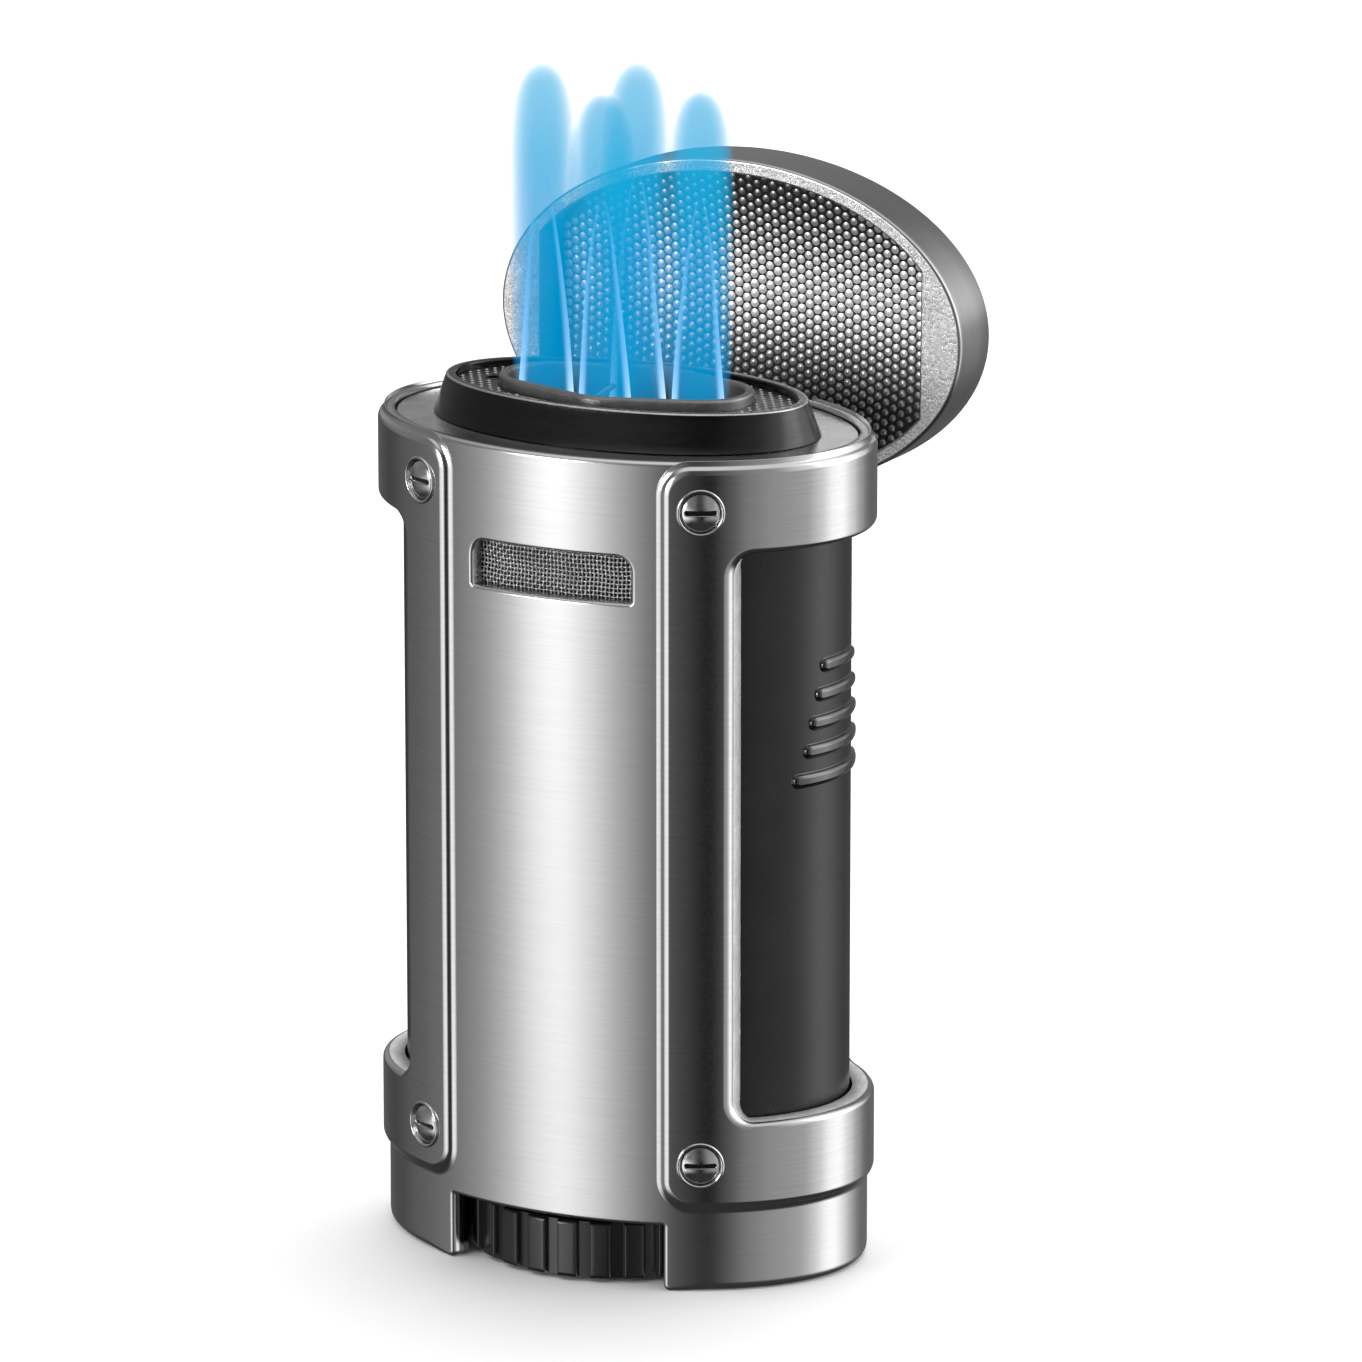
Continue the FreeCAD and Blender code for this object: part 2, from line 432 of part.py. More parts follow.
corners = [(NOSE_TIP_X, nose_z(NOSE_TIP_X)), (NOSE_ROOT_X, nose_z(NOSE_ROOT_X)), (NOSE_ROOT_X, 48.4),
           (NOSE_TIP_X, 48.4)]
nose_wire = Part.makePolygon([V(x, -5.8, z) for x, z in corners + corners[:1]])
nose = Part.Face(nose_wire).extrude(V(0, 1.2, 0))
finger_pts = [(6.2, 8.75), (10.0, 8.35), (13.8, 8.35), (13.8, 9.3), (6.2, 9.3)]
finger_wire = Part.makePolygon([V(x, y, 59.9) for x, y in finger_pts + finger_pts[:1]])
finger = Part.Face(finger_wire).extrude(V(0, 0, 1.3))
trigger = trigger.fuse([pad, nose, finger]).cut(rod_y(0.85, TRIGGER_X, -9, 9, TRIGGER_Z))
save("trigger_panel", trigger.removeSplitter())

# ---------------------------------------------------------------- air intake mesh behind the slot
mesh = oval_ring(IN_AX - 0.05, IN_AY - 0.05, 0.6, 58.2, 64.2).common(box(-8.7, 8.7, -20, 0, 0, 80))
cells = []
for i in range(15):
    for j in range(4):
        x, z = (i - 7) * 1.0, 59.75 + j * 0.97
        cells.append(box(x - 0.3, x + 0.3, -20, 0, z - 0.3, z + 0.3))
save("air_intake_mesh", mesh.cut(cells))

# ---------------------------------------------------------------- burner
block = lozenge(JET_X, 3.1, JET_Y, 3.0, 62.0, 66.9)
flange = lozenge(GUARD_END, GUARD_END_R + 0.6, GUARD_SIDE, GUARD_SIDE_R + 0.6, 66.9, DECK_Z0)
BURNER_SCREW_X = 15.4
ear = box(8, BURNER_SCREW_X, -1.8, 1.8, 66.9, DECK_Z0).fuse(cyl(1.8, BURNER_SCREW_X, 0, 66.9, DECK_Z0))
block = block.fuse([flange, ear, mirror_x(ear)])
JETS = [(JET_X, 0), (-JET_X, 0), (0, JET_Y), (0, -JET_Y)]
holes = [cyl(JET_R + 0.02, x, y, 64, 70) for x, y in JETS]
holes += [cyl(0.5, x, y, 63, 65) for x, y in JETS]
holes += [cyl(0.6, -JET_X, 0, 61, 63.2), rod_x(0.5, -JET_X, JET_X, 0, 63.2).fuse(rod_y(0.5, 0, -3.2, 3.2, 63.2))]
holes += [cyl(0.92, ELECTRODE_X, 0, 60, 70), cyl(0.75, BURNER_SCREW_X, 0, 60, 70),
          cyl(0.75, -BURNER_SCREW_X, 0, 60, 70)]
save("burner_block", block.cut(holes))
burner_screws = []
for x in (BURNER_SCREW_X, -BURNER_SCREW_X):
    screw = cyl(1.4, x, 0, 65.6, 66.9).fuse(cyl(0.7, x, 0, 66.9, 70.2))
    burner_screws.append(screw.cut(box(x - 2, x + 2, -0.25, 0.25, 65, 66.1)))
save("burner_screws", *burner_screws)
nozzles = []
for x, y in JETS:
    nozzle = round_rim(cyl(JET_R, x, y, 64.0, 70.0), 70.0, 0.3)
    nozzles.append(nozzle.cut([cyl(0.8, x, y, 63, 71), cyl(1.5, x, y, 68.9, 71)]))
save("jet_nozzles", *nozzles)
insulator = cyl(0.9, ELECTRODE_X, 0, 59.0, 70.6).cut(cyl(0.25, ELECTRODE_X, 0, 58, 71))
save("electrode_insulator", insulator)
save("ignition_electrode", tube_path([(ELECTRODE_X, 0, 59.0), (ELECTRODE_X, 0, 72.6), (-1.7, 1.3, 73.6)], 0.25))
guard = lozenge(GUARD_END, GUARD_END_R, GUARD_SIDE, GUARD_SIDE_R, DECK_Z0, GUARD_Z)
guard = guard.cut(lozenge(GUARD_END, GUARD_END_R - GUARD_WALL, GUARD_SIDE, GUARD_SIDE_R - GUARD_WALL, 60, 80))
save("flame_guard", guard)

# ---------------------------------------------------------------- top plate, collar, screen
deck = oval(DECK_AX, DECK_AY, DECK_Z0, DECK_Z1).fuse(oval(FLANGE_AX, FLANGE_AY, FLANGE_Z0, DECK_Z1))
deck = deck.cut(lozenge(GUARD_END, GUARD_END_R + 0.1, GUARD_SIDE, GUARD_SIDE_R + 0.1, 60, 80))
deck = deck.fuse(four_ways(cyl(BOSS_R, BOSS_X, -BOSS_Y, 65.3, DECK_Z0)))
for s in (-1, 1):
    x0, x1 = (6.0, 7.7) if s > 0 else (-7.7, -6.0)
    deck = deck.fuse(box(x0, x1, 9.7, 13.1, HINGE_Z, DECK_Z0 + 0.5))
    deck = deck.fuse(rod_x(1.9, x0, x1, HINGE_Y, HINGE_Z))
deck = deck.cut(boss_holes + [box(-5.85, 5.85, 10.62, 20, 60, 80), rod_x(HINGE_PIN_R + 0.02, -10, 10, HINGE_Y, HINGE_Z),
                              cyl(0.72, BURNER_SCREW_X, 0, 60, 70.3), cyl(0.72, -BURNER_SCREW_X, 0, 60, 70.3)])
save("top_plate", deck)
collar = Part.makeLoft([oval_wire(COLLAR_AX0, COLLAR_AY0, DECK_Z1), oval_wire(COLLAR_AX1, COLLAR_AY1, COLLAR_Z)], True)
collar = collar.cut([oval(COLLAR_IN_AX, COLLAR_IN_AY, SCREEN_Z0, 80),
                     oval(COLLAR_IN_AX - 0.8, COLLAR_IN_AY - 0.8, 60, 80)])
save("burner_collar", collar)
screen = oval(COLLAR_IN_AX - 0.05, COLLAR_IN_AY - 0.05, SCREEN_Z0, SCREEN_Z1)
screen = screen.cut(lozenge(GUARD_END, GUARD_END_R + 0.05, GUARD_SIDE, GUARD_SIDE_R + 0.05, 60, 80))
cells = []
for i in range(-10, 11):
    for j in range(-4, 5):
        x, y = i * 1.4, j * 1.4
        inside = (x / 14.4) ** 2 + (y / 6.9) ** 2 < 1 and math.hypot(abs(x) - 7.0, y) > 5.6
        if inside and abs(x) > 9.0:
            cells.append(box(x - 0.4, x + 0.4, y - 0.4, y + 0.4, 70, 75))
save("collar_screen", screen.cut(cells))

# ---------------------------------------------------------------- lid, modelled closed and swung open
def open_lid(shape):
    shape.rotate(V(0, HINGE_Y, HINGE_Z), X_AXIS, -LID_OPEN_DEG)
    return shape


lid = round_rim(oval(LID_AX, LID_AY, LID_Z0, LID_Z1), LID_Z1, LID_ROUND)
pocket = oval(LID_AX - LID_WALL, LID_AY - LID_WALL, LID_Z0 - 1, POCKET_FLOOR_Z)
pocket = pocket.common(box(-POCKET_X, POCKET_X, -20, 20, 0, 90))
lid = lid.cut(pocket)
tongue = oval_ring(LID_AX, LID_AY, LID_WALL, 65.9, LID_Z0 + 0.2).common(box(-5.7, 5.7, 0, 20, 0, 90))
rivet_holes = [rod_y(0.6, x, 0, 20, 67.3) for x in (-2.2, 2.2)]
save("lid_shell", open_lid(lid.fuse(tongue).cut(rivet_holes)))
plate_cut = box(-5.9, 5.9, 10.8, 20, 60, 90)
bend_z = POCKET_FACE_Z - PLATE_BEND_R
sheet = rod_x(PLATE_BEND_R + PLATE_T, -POCKET_X + 0.05, POCKET_X - 0.05, 0, bend_z)
sheet = sheet.cut(rod_x(PLATE_BEND_R, -30, 30, 0, bend_z))
studs = [cyl(1.5, x, 0, POCKET_FACE_Z + 0.3, POCKET_FLOOR_Z) for x in (-9.0, 9.0)]
heat_plate = oval(LID_AX - LID_WALL - 0.05, LID_AY - LID_WALL - 0.05, POCKET_FACE_Z - 3, POCKET_FLOOR_Z)
heat_plate = heat_plate.common(sheet).fuse(studs).cut(plate_cut)
save("lid_heat_plate", open_lid(heat_plate))
bracket = box(-5.6, 5.6, 11.0, 12.4, 66.2, 75.2)
for s in (-1, 1):
    x0, x1 = (3.0, 5.6) if s > 0 else (-5.6, -3.0)
    knuckle = rod_x(BARREL_R, x0, x1, HINGE_Y, HINGE_Z).fuse(box(x0, x1, 11.0, 12.4, HINGE_Z, 67))
    bracket = bracket.fuse(knuckle)
latch_notch = box(3.0, 5.6, 9.0, 10.2, 63.2, 64.6)
bracket = bracket.cut(rivet_holes + [latch_notch, rod_x(HINGE_PIN_R + 0.05, -9, 9, HINGE_Y, HINGE_Z)])
save("lid_hinge_bracket", open_lid(bracket))
rivets = []
for x in (-2.2, 2.2):
    shank = rod_y(0.6, x, 10.7, 14.4, 67.3)
    inner = rod_y(1.0, x, 10.7, 11.0, 67.3)
    outer = rod_y(1.0, x, 14.32, 14.65, 67.3)
    spacer = rod_y(1.0, x, 12.4, 12.9, 67.3)
    rivets.append(open_lid(shank.fuse([inner, outer, spacer])))
save("lid_bracket_rivets", *rivets)
save("lid_hinge_pin", rod_x(HINGE_PIN_R, -7.7, 7.7, HINGE_Y, HINGE_Z))
spring = coil(1.4, 0.22, 0.6, 5.2)
spring.rotate(V(0, 0, 0), Y_AXIS, 90)
spring.translate(V(-2.6, HINGE_Y, HINGE_Z))
save("lid_torsion_spring", spring)

latch = box(3.2, 5.4, 6.7, 8.5, LATCH_Z, 64.4).fuse(rod_x(0.95, 3.2, 5.4, LATCH_Y, LATCH_Z))
latch = latch.fuse(box(3.2, 5.4, 8.0, 9.35, 63.4, 64.4))
save("lid_latch", latch.cut(rod_x(0.65, 0, 9, LATCH_Y, LATCH_Z)))

# ---------------------------------------------------------------- write
for name, shape in NODES.items():
    shape.exportStep("parts/" + name + ".step")
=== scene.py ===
import json
import math

import bpy
import bmesh
import numpy as np
from mathutils import Matrix, Vector
from mathutils.geometry import delaunay_2d_cdt


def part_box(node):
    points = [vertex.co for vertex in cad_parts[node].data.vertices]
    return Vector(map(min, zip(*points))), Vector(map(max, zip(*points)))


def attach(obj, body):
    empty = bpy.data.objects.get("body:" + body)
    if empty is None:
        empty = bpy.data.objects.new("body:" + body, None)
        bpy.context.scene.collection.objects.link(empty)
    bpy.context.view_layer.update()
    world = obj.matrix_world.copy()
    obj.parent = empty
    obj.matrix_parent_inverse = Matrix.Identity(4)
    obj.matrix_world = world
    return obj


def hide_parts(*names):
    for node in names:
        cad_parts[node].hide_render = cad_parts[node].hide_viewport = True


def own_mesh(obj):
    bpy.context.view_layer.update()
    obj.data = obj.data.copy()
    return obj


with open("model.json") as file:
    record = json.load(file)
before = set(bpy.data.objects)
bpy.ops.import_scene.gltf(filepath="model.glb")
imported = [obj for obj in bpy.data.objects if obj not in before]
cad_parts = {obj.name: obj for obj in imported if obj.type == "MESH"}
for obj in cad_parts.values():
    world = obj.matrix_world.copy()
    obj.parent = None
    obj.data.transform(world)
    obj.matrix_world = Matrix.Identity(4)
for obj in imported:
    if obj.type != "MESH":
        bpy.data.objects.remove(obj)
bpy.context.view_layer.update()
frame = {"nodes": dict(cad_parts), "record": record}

MM = 0.001

# ---------------- dimensions, millimetres
SHELL_AX, SHELL_AY, SHELL_H, SHELL_WALL, RIM_WALL = 21.45, 14.75, 71.3, 1.2, 0.85
FRAME_H = 0.55
FRAME_EDGE_X, FRAME_Z0, FRAME_Z1, FRAME_CORNER_R = 9.9, 7.45, 70.9, 2.4
WINDOW_X, WINDOW_Z0, WINDOW_Z1, WINDOW_CORNER_R = 14.8, 14.7, 63.65, 2.0
SLOT_HALF, SLOT_Z0, SLOT_Z1, SLOT_CORNER_R = 7.35, 59.25, 63.15, 1.3
NOTCH_HALF, NOTCH_Z = 9.9, 5.7
REAR_NOTCH_HALF, REAR_NOTCH_Z = 7.95, 60.4
SCREW_X, SCREW_ZS, SCREW_R = 13.0, (11.2, 67.2), 1.62
PANEL_AX, PANEL_AY, PANEL_T = 19.9, 13.2, 1.1
PANEL_X, PANEL_Z0, PANEL_Z1 = 12.6, 12.9, 64.9
RIBS = ((52.8, 2.9), (50.4, 3.45), (48.05, 4.05), (45.7, 4.55), (43.3, 5.5))
RIB_HALF, RIB_PROUD = 0.56, 0.4
WHEEL_Y, WHEEL_R, WHEEL_Z0, WHEEL_Z1, WHEEL_GROOVES = -1.4, 13.0, 0.35, 5.25, 28
COLLAR_AX0, COLLAR_AY0, COLLAR_AX1, COLLAR_AY1 = 17.3, 10.5, 16.25, 8.75
COLLAR_Z0, COLLAR_Z1, COLLAR_IN_AX, COLLAR_IN_AY = 70.9, 74.05, 15.45, 7.95
SCREEN_Z = 73.6
GUARD_END, GUARD_END_R, GUARD_SIDE, GUARD_SIDE_R = 7.0, 4.4, 3.1, 3.6
GUARD_WALL, GUARD_Z0, GUARD_Z1 = 0.8, 68.9, 74.4
LID_AX, LID_AY, LID_WALL, LID_Z0, LID_Z1, LID_FILLET = 21.7, 14.3, 1.25, 71.65, 77.7, 0.4
TONGUE_X, TONGUE_Z0 = 5.7, 65.9
POCKET_X, POCKET_Z, PLATE_Z, PLATE_BEND_R = 17.9, 75.65, 75.25, 51.0
# Across the lid plate, the middle of the band where the dimples are painted bright.
PAINTED_BAND_Y = -2.6
HINGE_Y, HINGE_Z, LID_OPEN_DEG = 11.42, 63.91, 91.0


# ---------------- surfaces that plates lie on
class Oval:
    """Upright oval wall. u is arc length from the front (-Y) towards +X, v is height."""

    def __init__(self, ax, ay):
        self.ax, self.ay = ax, ay
        self.phi = np.linspace(-np.pi, np.pi, 8001)
        step = np.hypot(ax * np.cos(self.phi), ay * np.sin(self.phi))
        run = np.concatenate([[0], np.cumsum((step[1:] + step[:-1]) / 2 * np.diff(self.phi))])
        self.s = run - run[-1] / 2
        self.length = run[-1]

    def at_x(self, x):
        return float(np.interp(math.asin(x / self.ax), self.phi, self.s))

    def place(self, u, v, h):
        phi = np.interp(u, self.s, self.phi)
        normal = np.stack([np.sin(phi) / self.ax, -np.cos(phi) / self.ay, np.zeros_like(phi)], 1)
        normal /= np.linalg.norm(normal, axis=1)[:, None]
        along = np.stack([-normal[:, 1], normal[:, 0], np.zeros_like(phi)], 1)
        base = np.stack([self.ax * np.sin(phi), -self.ay * np.cos(phi), v], 1)
        up = np.zeros_like(normal)
        up[:, 2] = 1
        return base + normal * np.asarray(h)[:, None], along, up, normal


class Plane:
    """Flat surface through origin with unit axes u, v and normal n."""

    def __init__(self, origin, u, v):
        self.o, self.u, self.v = (np.array(a, float) for a in (origin, u, v))
        self.n = np.cross(self.u, self.v)

    def place(self, u, v, h):
        one = np.ones(len(u))[:, None]
        at = self.o + np.outer(u, self.u) + np.outer(v, self.v) + np.outer(h, self.n)
        return at, one * self.u, one * self.v, one * self.n


# ---------------- mesh building
class Build:
    """Collects vertices, faces and normals of one piece."""

    def __init__(self):
        self.co, self.no, self.faces, self.mats, self.count = [], [], [], [], 0

    def add(self, co, faces, no=None, mat=0):
        co = np.asarray(co, float)
        no = np.zeros_like(co) if no is None else np.asarray(no, float)
        self.co.append(co)
        self.no.append(no)
        self.faces += [tuple(int(i) + self.count for i in f) for f in faces]
        self.mats += [mat] * len(faces)
        self.count += len(co)

    def mirror(self):
        """Turn a right-hand piece into the left-hand one."""
        for rows in self.co + self.no:
            rows[:, 0] *= -1
        self.faces = [f[::-1] for f in self.faces]

    def finish(self, node, materials, body, turn=None, sharp=None):
        """Make the piece that stands for a CAD node, with the normals as built or sharp past an angle."""
        co = np.concatenate(self.co)
        no = np.concatenate(self.no)
        if turn is not None:
            rot, centre = turn
            co = (co - centre) @ rot.T + centre
            no = no @ rot.T
        obj = new_object(node + "_finished", co, self.faces, materials)
        mesh = obj.data
        mesh.polygons.foreach_set("material_index", self.mats)
        if sharp is not None:
            mark_sharp(mesh, sharp)
        elif np.abs(no).sum() > 0:
            mesh.normals_split_custom_set_from_vertices(no.tolist())
        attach(obj, body)
        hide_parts(node)
        return obj


def new_object(name, co, faces, materials):
    """Smooth mesh object from points in millimetres."""
    mesh = bpy.data.meshes.new(name)
    mesh.from_pydata((np.asarray(co, float) * MM).tolist(), [], faces)
    for material in materials:
        mesh.materials.append(material)
    mesh.polygons.foreach_set("use_smooth", [True] * len(mesh.polygons))
    obj = bpy.data.objects.new(name, mesh)
    bpy.context.scene.collection.objects.link(obj)
    return obj


def mark_sharp(mesh, degrees):
    bm = bmesh.new()
    bm.from_mesh(mesh)
    bmesh.ops.remove_doubles(bm, verts=bm.verts, dist=1e-7)
    limit = math.radians(degrees)
    for e in bm.edges:
        e.smooth = len(e.link_faces) == 2 and e.calc_face_angle() < limit
    bm.to_mesh(mesh)
    bm.free()


def inside(points, loops):
    """Even-odd test of points against all the loops together."""
    odd = np.zeros(len(points), bool)
    px, py = points[:, 0][:, None], points[:, 1][:, None]
    for loop in loops:
        x0, y0 = loop[:, 0], loop[:, 1]
        x1, y1 = np.roll(x0, -1), np.roll(y0, -1)
        cross = (y0 > py) != (y1 > py)
        rise = np.where(y1 == y0, 1, y1 - y0)
        hit = cross & (px < (x1 - x0) * (py - y0) / rise + x0)
        odd ^= (hit.sum(1) % 2).astype(bool)
    return odd


def miters(pts, is_open):
    """Inward offset direction at each vertex of a closed loop that has its material on the left."""
    d = np.roll(pts, -1, 0) - pts
    n = np.stack([-d[:, 1], d[:, 0]], 1)
    n /= np.linalg.norm(n, axis=1)[:, None]
    before = np.roll(n, 1, 0)
    open_before = np.roll(is_open, 1)
    a = np.where(open_before[:, None], n, before)
    b = np.where(is_open[:, None], before, n)
    m = (a + b) / (1 + (a * b).sum(1))[:, None]
    m[is_open & open_before] = 0
    return m


def edge_wall(build, surface, crown, mat, pts, profile, radius, is_open, lean=0.0, strip_mats=None):
    """Add the edge of a plate along one contour, and return the loop where it meets the top."""
    n, last = len(pts), len(profile) - 1
    is_open = np.zeros(n, bool) if is_open is None else is_open
    radius = np.full(n, float(radius)) if np.isscalar(radius) else radius
    m = miters(pts, is_open)
    m_unit = m / np.maximum(np.linalg.norm(m, axis=1), 1e-9)[:, None]
    rows = np.array([[ir * radius + ic, hr * radius + hc] for ir, ic, hr, hc in profile])
    rows[:, 0] += lean * np.abs(m_unit[:, 0]) * (rows[:, 1] - rows[-1, 1])
    slope = np.zeros_like(rows)
    seg = np.diff(rows, axis=0)
    seg /= np.maximum(np.linalg.norm(seg, axis=1), 1e-9)[:, None, :]
    slope[1:-1] = seg[1:] + seg[:-1]
    slope[0], slope[-1, 0], slope[-1, 1] = seg[0], 1, 0
    co, no = [], []
    for k in range(len(profile)):
        p = pts + m * rows[k, 0][:, None]
        h = rows[k, 1].copy()
        if crown is not None and k == last:
            h += crown(p[:, 0], p[:, 1])[0]
        at, along, up, out = surface.place(p[:, 0], p[:, 1], h)
        di, dh = slope[k]
        size = np.maximum(np.hypot(di, dh), 1e-9)
        side = along * m_unit[:, :1] + up * m_unit[:, 1:]
        normal = out * (di / size)[:, None] - side * (dh / size)[:, None]
        co.append(at)
        no.append(tilted(out, along, up, p, crown) if k == last else normal)
    closed = [i for i in range(n) if not is_open[i]]
    faces = []
    for k in range(last):
        for i in closed:
            j = (i + 1) % n
            faces.append((k * n + i, k * n + j, (k + 1) * n + j, (k + 1) * n + i))
    build.add(np.concatenate(co), faces, np.concatenate(no), mat)
    if strip_mats:
        build.mats[-len(faces):] = [strip_mats[i // len(closed)] for i in range(len(faces))]
    return p


def triangulate(loops, grid):
    """Points spread inside the loops, and triangles over the points of the loops and then those."""
    edges, flat = [], []
    for loop in loops:
        n = len(loop)
        edges += [(len(flat) + i, len(flat) + (i + 1) % n) for i in range(n)]
        flat += [tuple(p) for p in loop]
    ring = np.array(flat)
    lo, hi = ring.min(0), ring.max(0)
    gu, gv = np.meshgrid(*(np.arange(lo[k] + grid[k] / 2, hi[k], grid[k]) for k in (0, 1)))
    free = np.stack([gu.ravel(), gv.ravel()], 1)
    free = free[inside(free, loops)]
    if len(free):
        gap = min(grid) * 0.4
        near = np.concatenate([(np.hypot(*(part[:, None] - ring[None]).transpose(2, 0, 1)) < gap).any(1)
                               for part in np.array_split(free, max(1, len(free) // 500))])
        free = free[~near]
    verts = [Vector(p) for p in flat] + [Vector(p) for p in free]
    _, _, tris, origin, _, _ = delaunay_2d_cdt(verts, edges, [], 0, 1e-6)
    ids = [o[0] for o in origin]
    pts = np.array([verts[i] for i in ids])
    tri = np.array(tris)
    a, b, c = (pts[tri[:, k]] for k in range(3))
    area = (b[:, 0] - a[:, 0]) * (c[:, 1] - a[:, 1]) - (b[:, 1] - a[:, 1]) * (c[:, 0] - a[:, 0])
    keep = inside(pts[tri].mean(1), loops) & (np.abs(area) > 1e-9)
    tri = np.array([[ids[i] for i in t] for t in tri[keep]])
    flip = area[keep] < 0
    tri[flip] = tri[flip][:, ::-1]
    return free, tri


def plate(build, surface, contours, grid, back=True, crown=None, mat=0, wall_mat=None):
    """Plate whose edges follow a profile.

    contours: (points, profile, radius, open edges, lean, strip materials); a profile row is
    (inset per radius, inset, height per radius, height), from the back edge to the top edge.
    Lean carries the wall of an upright edge that much further in per unit of depth.
    """
    tops, top_ids, back_ids = [], [], []
    for contour in contours:
        first = build.count
        tops.append(edge_wall(build, surface, crown, mat if wall_mat is None else wall_mat, *contour))
        n = len(tops[-1])
        back_ids += range(first, first + n)
        top_ids += range(build.count - n, build.count)
    free, tri = triangulate(tops, grid)
    profile, radius = contours[0][1:3]
    for is_top, known in ((True, top_ids), (False, back_ids)):
        if not is_top and not back:
            continue
        row = profile[-1 if is_top else 0]
        h = np.full(len(free), np.min(row[3]) + row[2] * float(np.max(radius)))
        table = known + list(range(build.count, build.count + len(free)))
        if len(free):
            if is_top and crown is not None:
                h = h + crown(free[:, 0], free[:, 1])[0]
            at, along, up, out = surface.place(free[:, 0], free[:, 1], h)
            build.add(at, [], tilted(out, along, up, free, crown) if is_top else -out)
        order = (0, 1, 2) if is_top else (2, 1, 0)
        for t in tri:
            build.faces.append(tuple(table[t[k]] for k in order))
            build.mats.append(mat)


def tilted(out, along, up, p, crown):
    if crown is None:
        return out
    _, du, dv = crown(p[:, 0], p[:, 1])
    normal = out - along * du[:, None] - up * dv[:, None]
    return normal / np.linalg.norm(normal, axis=1)[:, None]


def rounded_loop(corners, step):
    """Closed loop through (u, v, corner radius) points, with edges no longer than step = (du, dv)."""
    n = len(corners)
    out, ends = [], []
    for i in range(n):
        p = np.array(corners[i][:2], float)
        a = np.array(corners[i - 1][:2], float) - p
        b = np.array(corners[(i + 1) % n][:2], float) - p
        a /= np.linalg.norm(a)
        b /= np.linalg.norm(b)
        r = corners[i][2]
        half = math.acos(max(-1, min(1, float(a @ b)))) / 2
        if r <= 0:
            ends.append([p])
            continue
        leg = r / math.tan(half)
        centre = p + (a + b) / np.linalg.norm(a + b) * (r / math.sin(half))
        p0, p1 = p + a * leg, p + b * leg
        t0 = math.atan2(*(p0 - centre)[::-1])
        t1 = math.atan2(*(p1 - centre)[::-1])
        turn = (t1 - t0 + math.pi) % (2 * math.pi) - math.pi
        count = max(4, int(abs(turn) * r / 0.22) + 1)
        ends.append([centre + r * np.array([math.cos(t0 + turn * k / count), math.sin(t0 + turn * k / count)])
                     for k in range(count + 1)])
    for i in range(n):
        out += ends[i]
        p, q = ends[i][-1], ends[(i + 1) % n][0]
        parts = int(max(abs(q[0] - p[0]) / step[0], abs(q[1] - p[1]) / step[1])) + 1
        out += [p + (q - p) * k / parts for k in range(1, parts)]
    out = np.array(out)
    return out[np.linalg.norm(np.roll(out, -1, 0) - out, axis=1) > 0.01]


def rectangle(u0, u1, v0, v1, r, step, hole=False):
    loop = rounded_loop([(u0, v0, r), (u1, v0, r), (u1, v1, r), (u0, v1, r)], step)
    return loop[::-1].copy() if hole else loop


def circle(u, v, r, n, hole=False):
    a = np.arange(n) * 2 * np.pi / n
    loop = np.stack([u + r * np.cos(a), v + r * np.sin(a)], 1)
    return loop[::-1].copy() if hole else loop


def ellipse(ax, ay, n):
    a = np.arange(n) * 2 * np.pi / n
    return np.stack([ax * np.cos(a), ay * np.sin(a)], 1)


def fillet(steps):
    """Quarter round from the wall to the top, per unit radius, as (inset, height) pairs."""
    a = np.linspace(0, np.pi / 2, steps + 1)
    return [(1 - math.cos(t), math.sin(t) - 1) for t in a]


def walled(depth, steps=5, top=0.0):
    """Plate edge: an upright wall of that depth below zero, then a fillet up to the top."""
    return [(1, 0, 0, -depth), (0, 0, 0, -depth)] + [(i, 0, h, top) for i, h in fillet(steps)]


def strips(rings, n, closed=False):
    """Quads between each ring of n points and the next."""
    faces = []
    for k in range(rings if closed else rings - 1):
        k2 = (k + 1) % rings
        for i in range(n):
            j = (i + 1) % n
            faces.append((k * n + i, k * n + j, k2 * n + j, k2 * n + i))
    return faces


def tube(build, path, r, sides):
    """Round tube of radius r along a path of points, with flat ends."""
    path = np.asarray(path, float)
    d = np.gradient(path, axis=0)
    d /= np.linalg.norm(d, axis=1)[:, None]
    ref = np.array([0, 0, 1.0]) if abs(d[len(d) // 2][2]) < 0.8 else np.array([1.0, 0, 0])
    a = np.cross(d, ref)
    a /= np.linalg.norm(a, axis=1)[:, None]
    b = np.cross(d, a)
    co, no = [], []
    for k in range(sides):
        t = 2 * math.pi * k / sides
        n = a * math.cos(t) + b * math.sin(t)
        co.append(path + n * r)
        no.append(n)
    m = len(path)
    faces = []
    for k in range(sides):
        k2 = (k + 1) % sides
        for i in range(m - 1):
            faces.append((k2 * m + i, k2 * m + i + 1, k * m + i + 1, k * m + i))
    faces.append([k * m for k in range(sides)])
    faces.append([k * m + m - 1 for k in reversed(range(sides))])
    build.add(np.concatenate(co), faces, np.concatenate(no))


def loft(build, rings, closed=False, caps=False):
    """Skin through closed rings of equal count, each an (n, 3) array."""
    n = len(rings[0])
    faces = strips(len(rings), n, closed)
    if caps:
        faces.append(list(reversed(range(n))))
        faces.append(list(range((len(rings) - 1) * n, len(rings) * n)))
    build.add(np.concatenate(rings), faces)


def at_height(loop, z):
    """Flat (u, v) loop as (x, y, z) points."""
    return np.concatenate([loop, np.full((len(loop), 1), z)], 1)


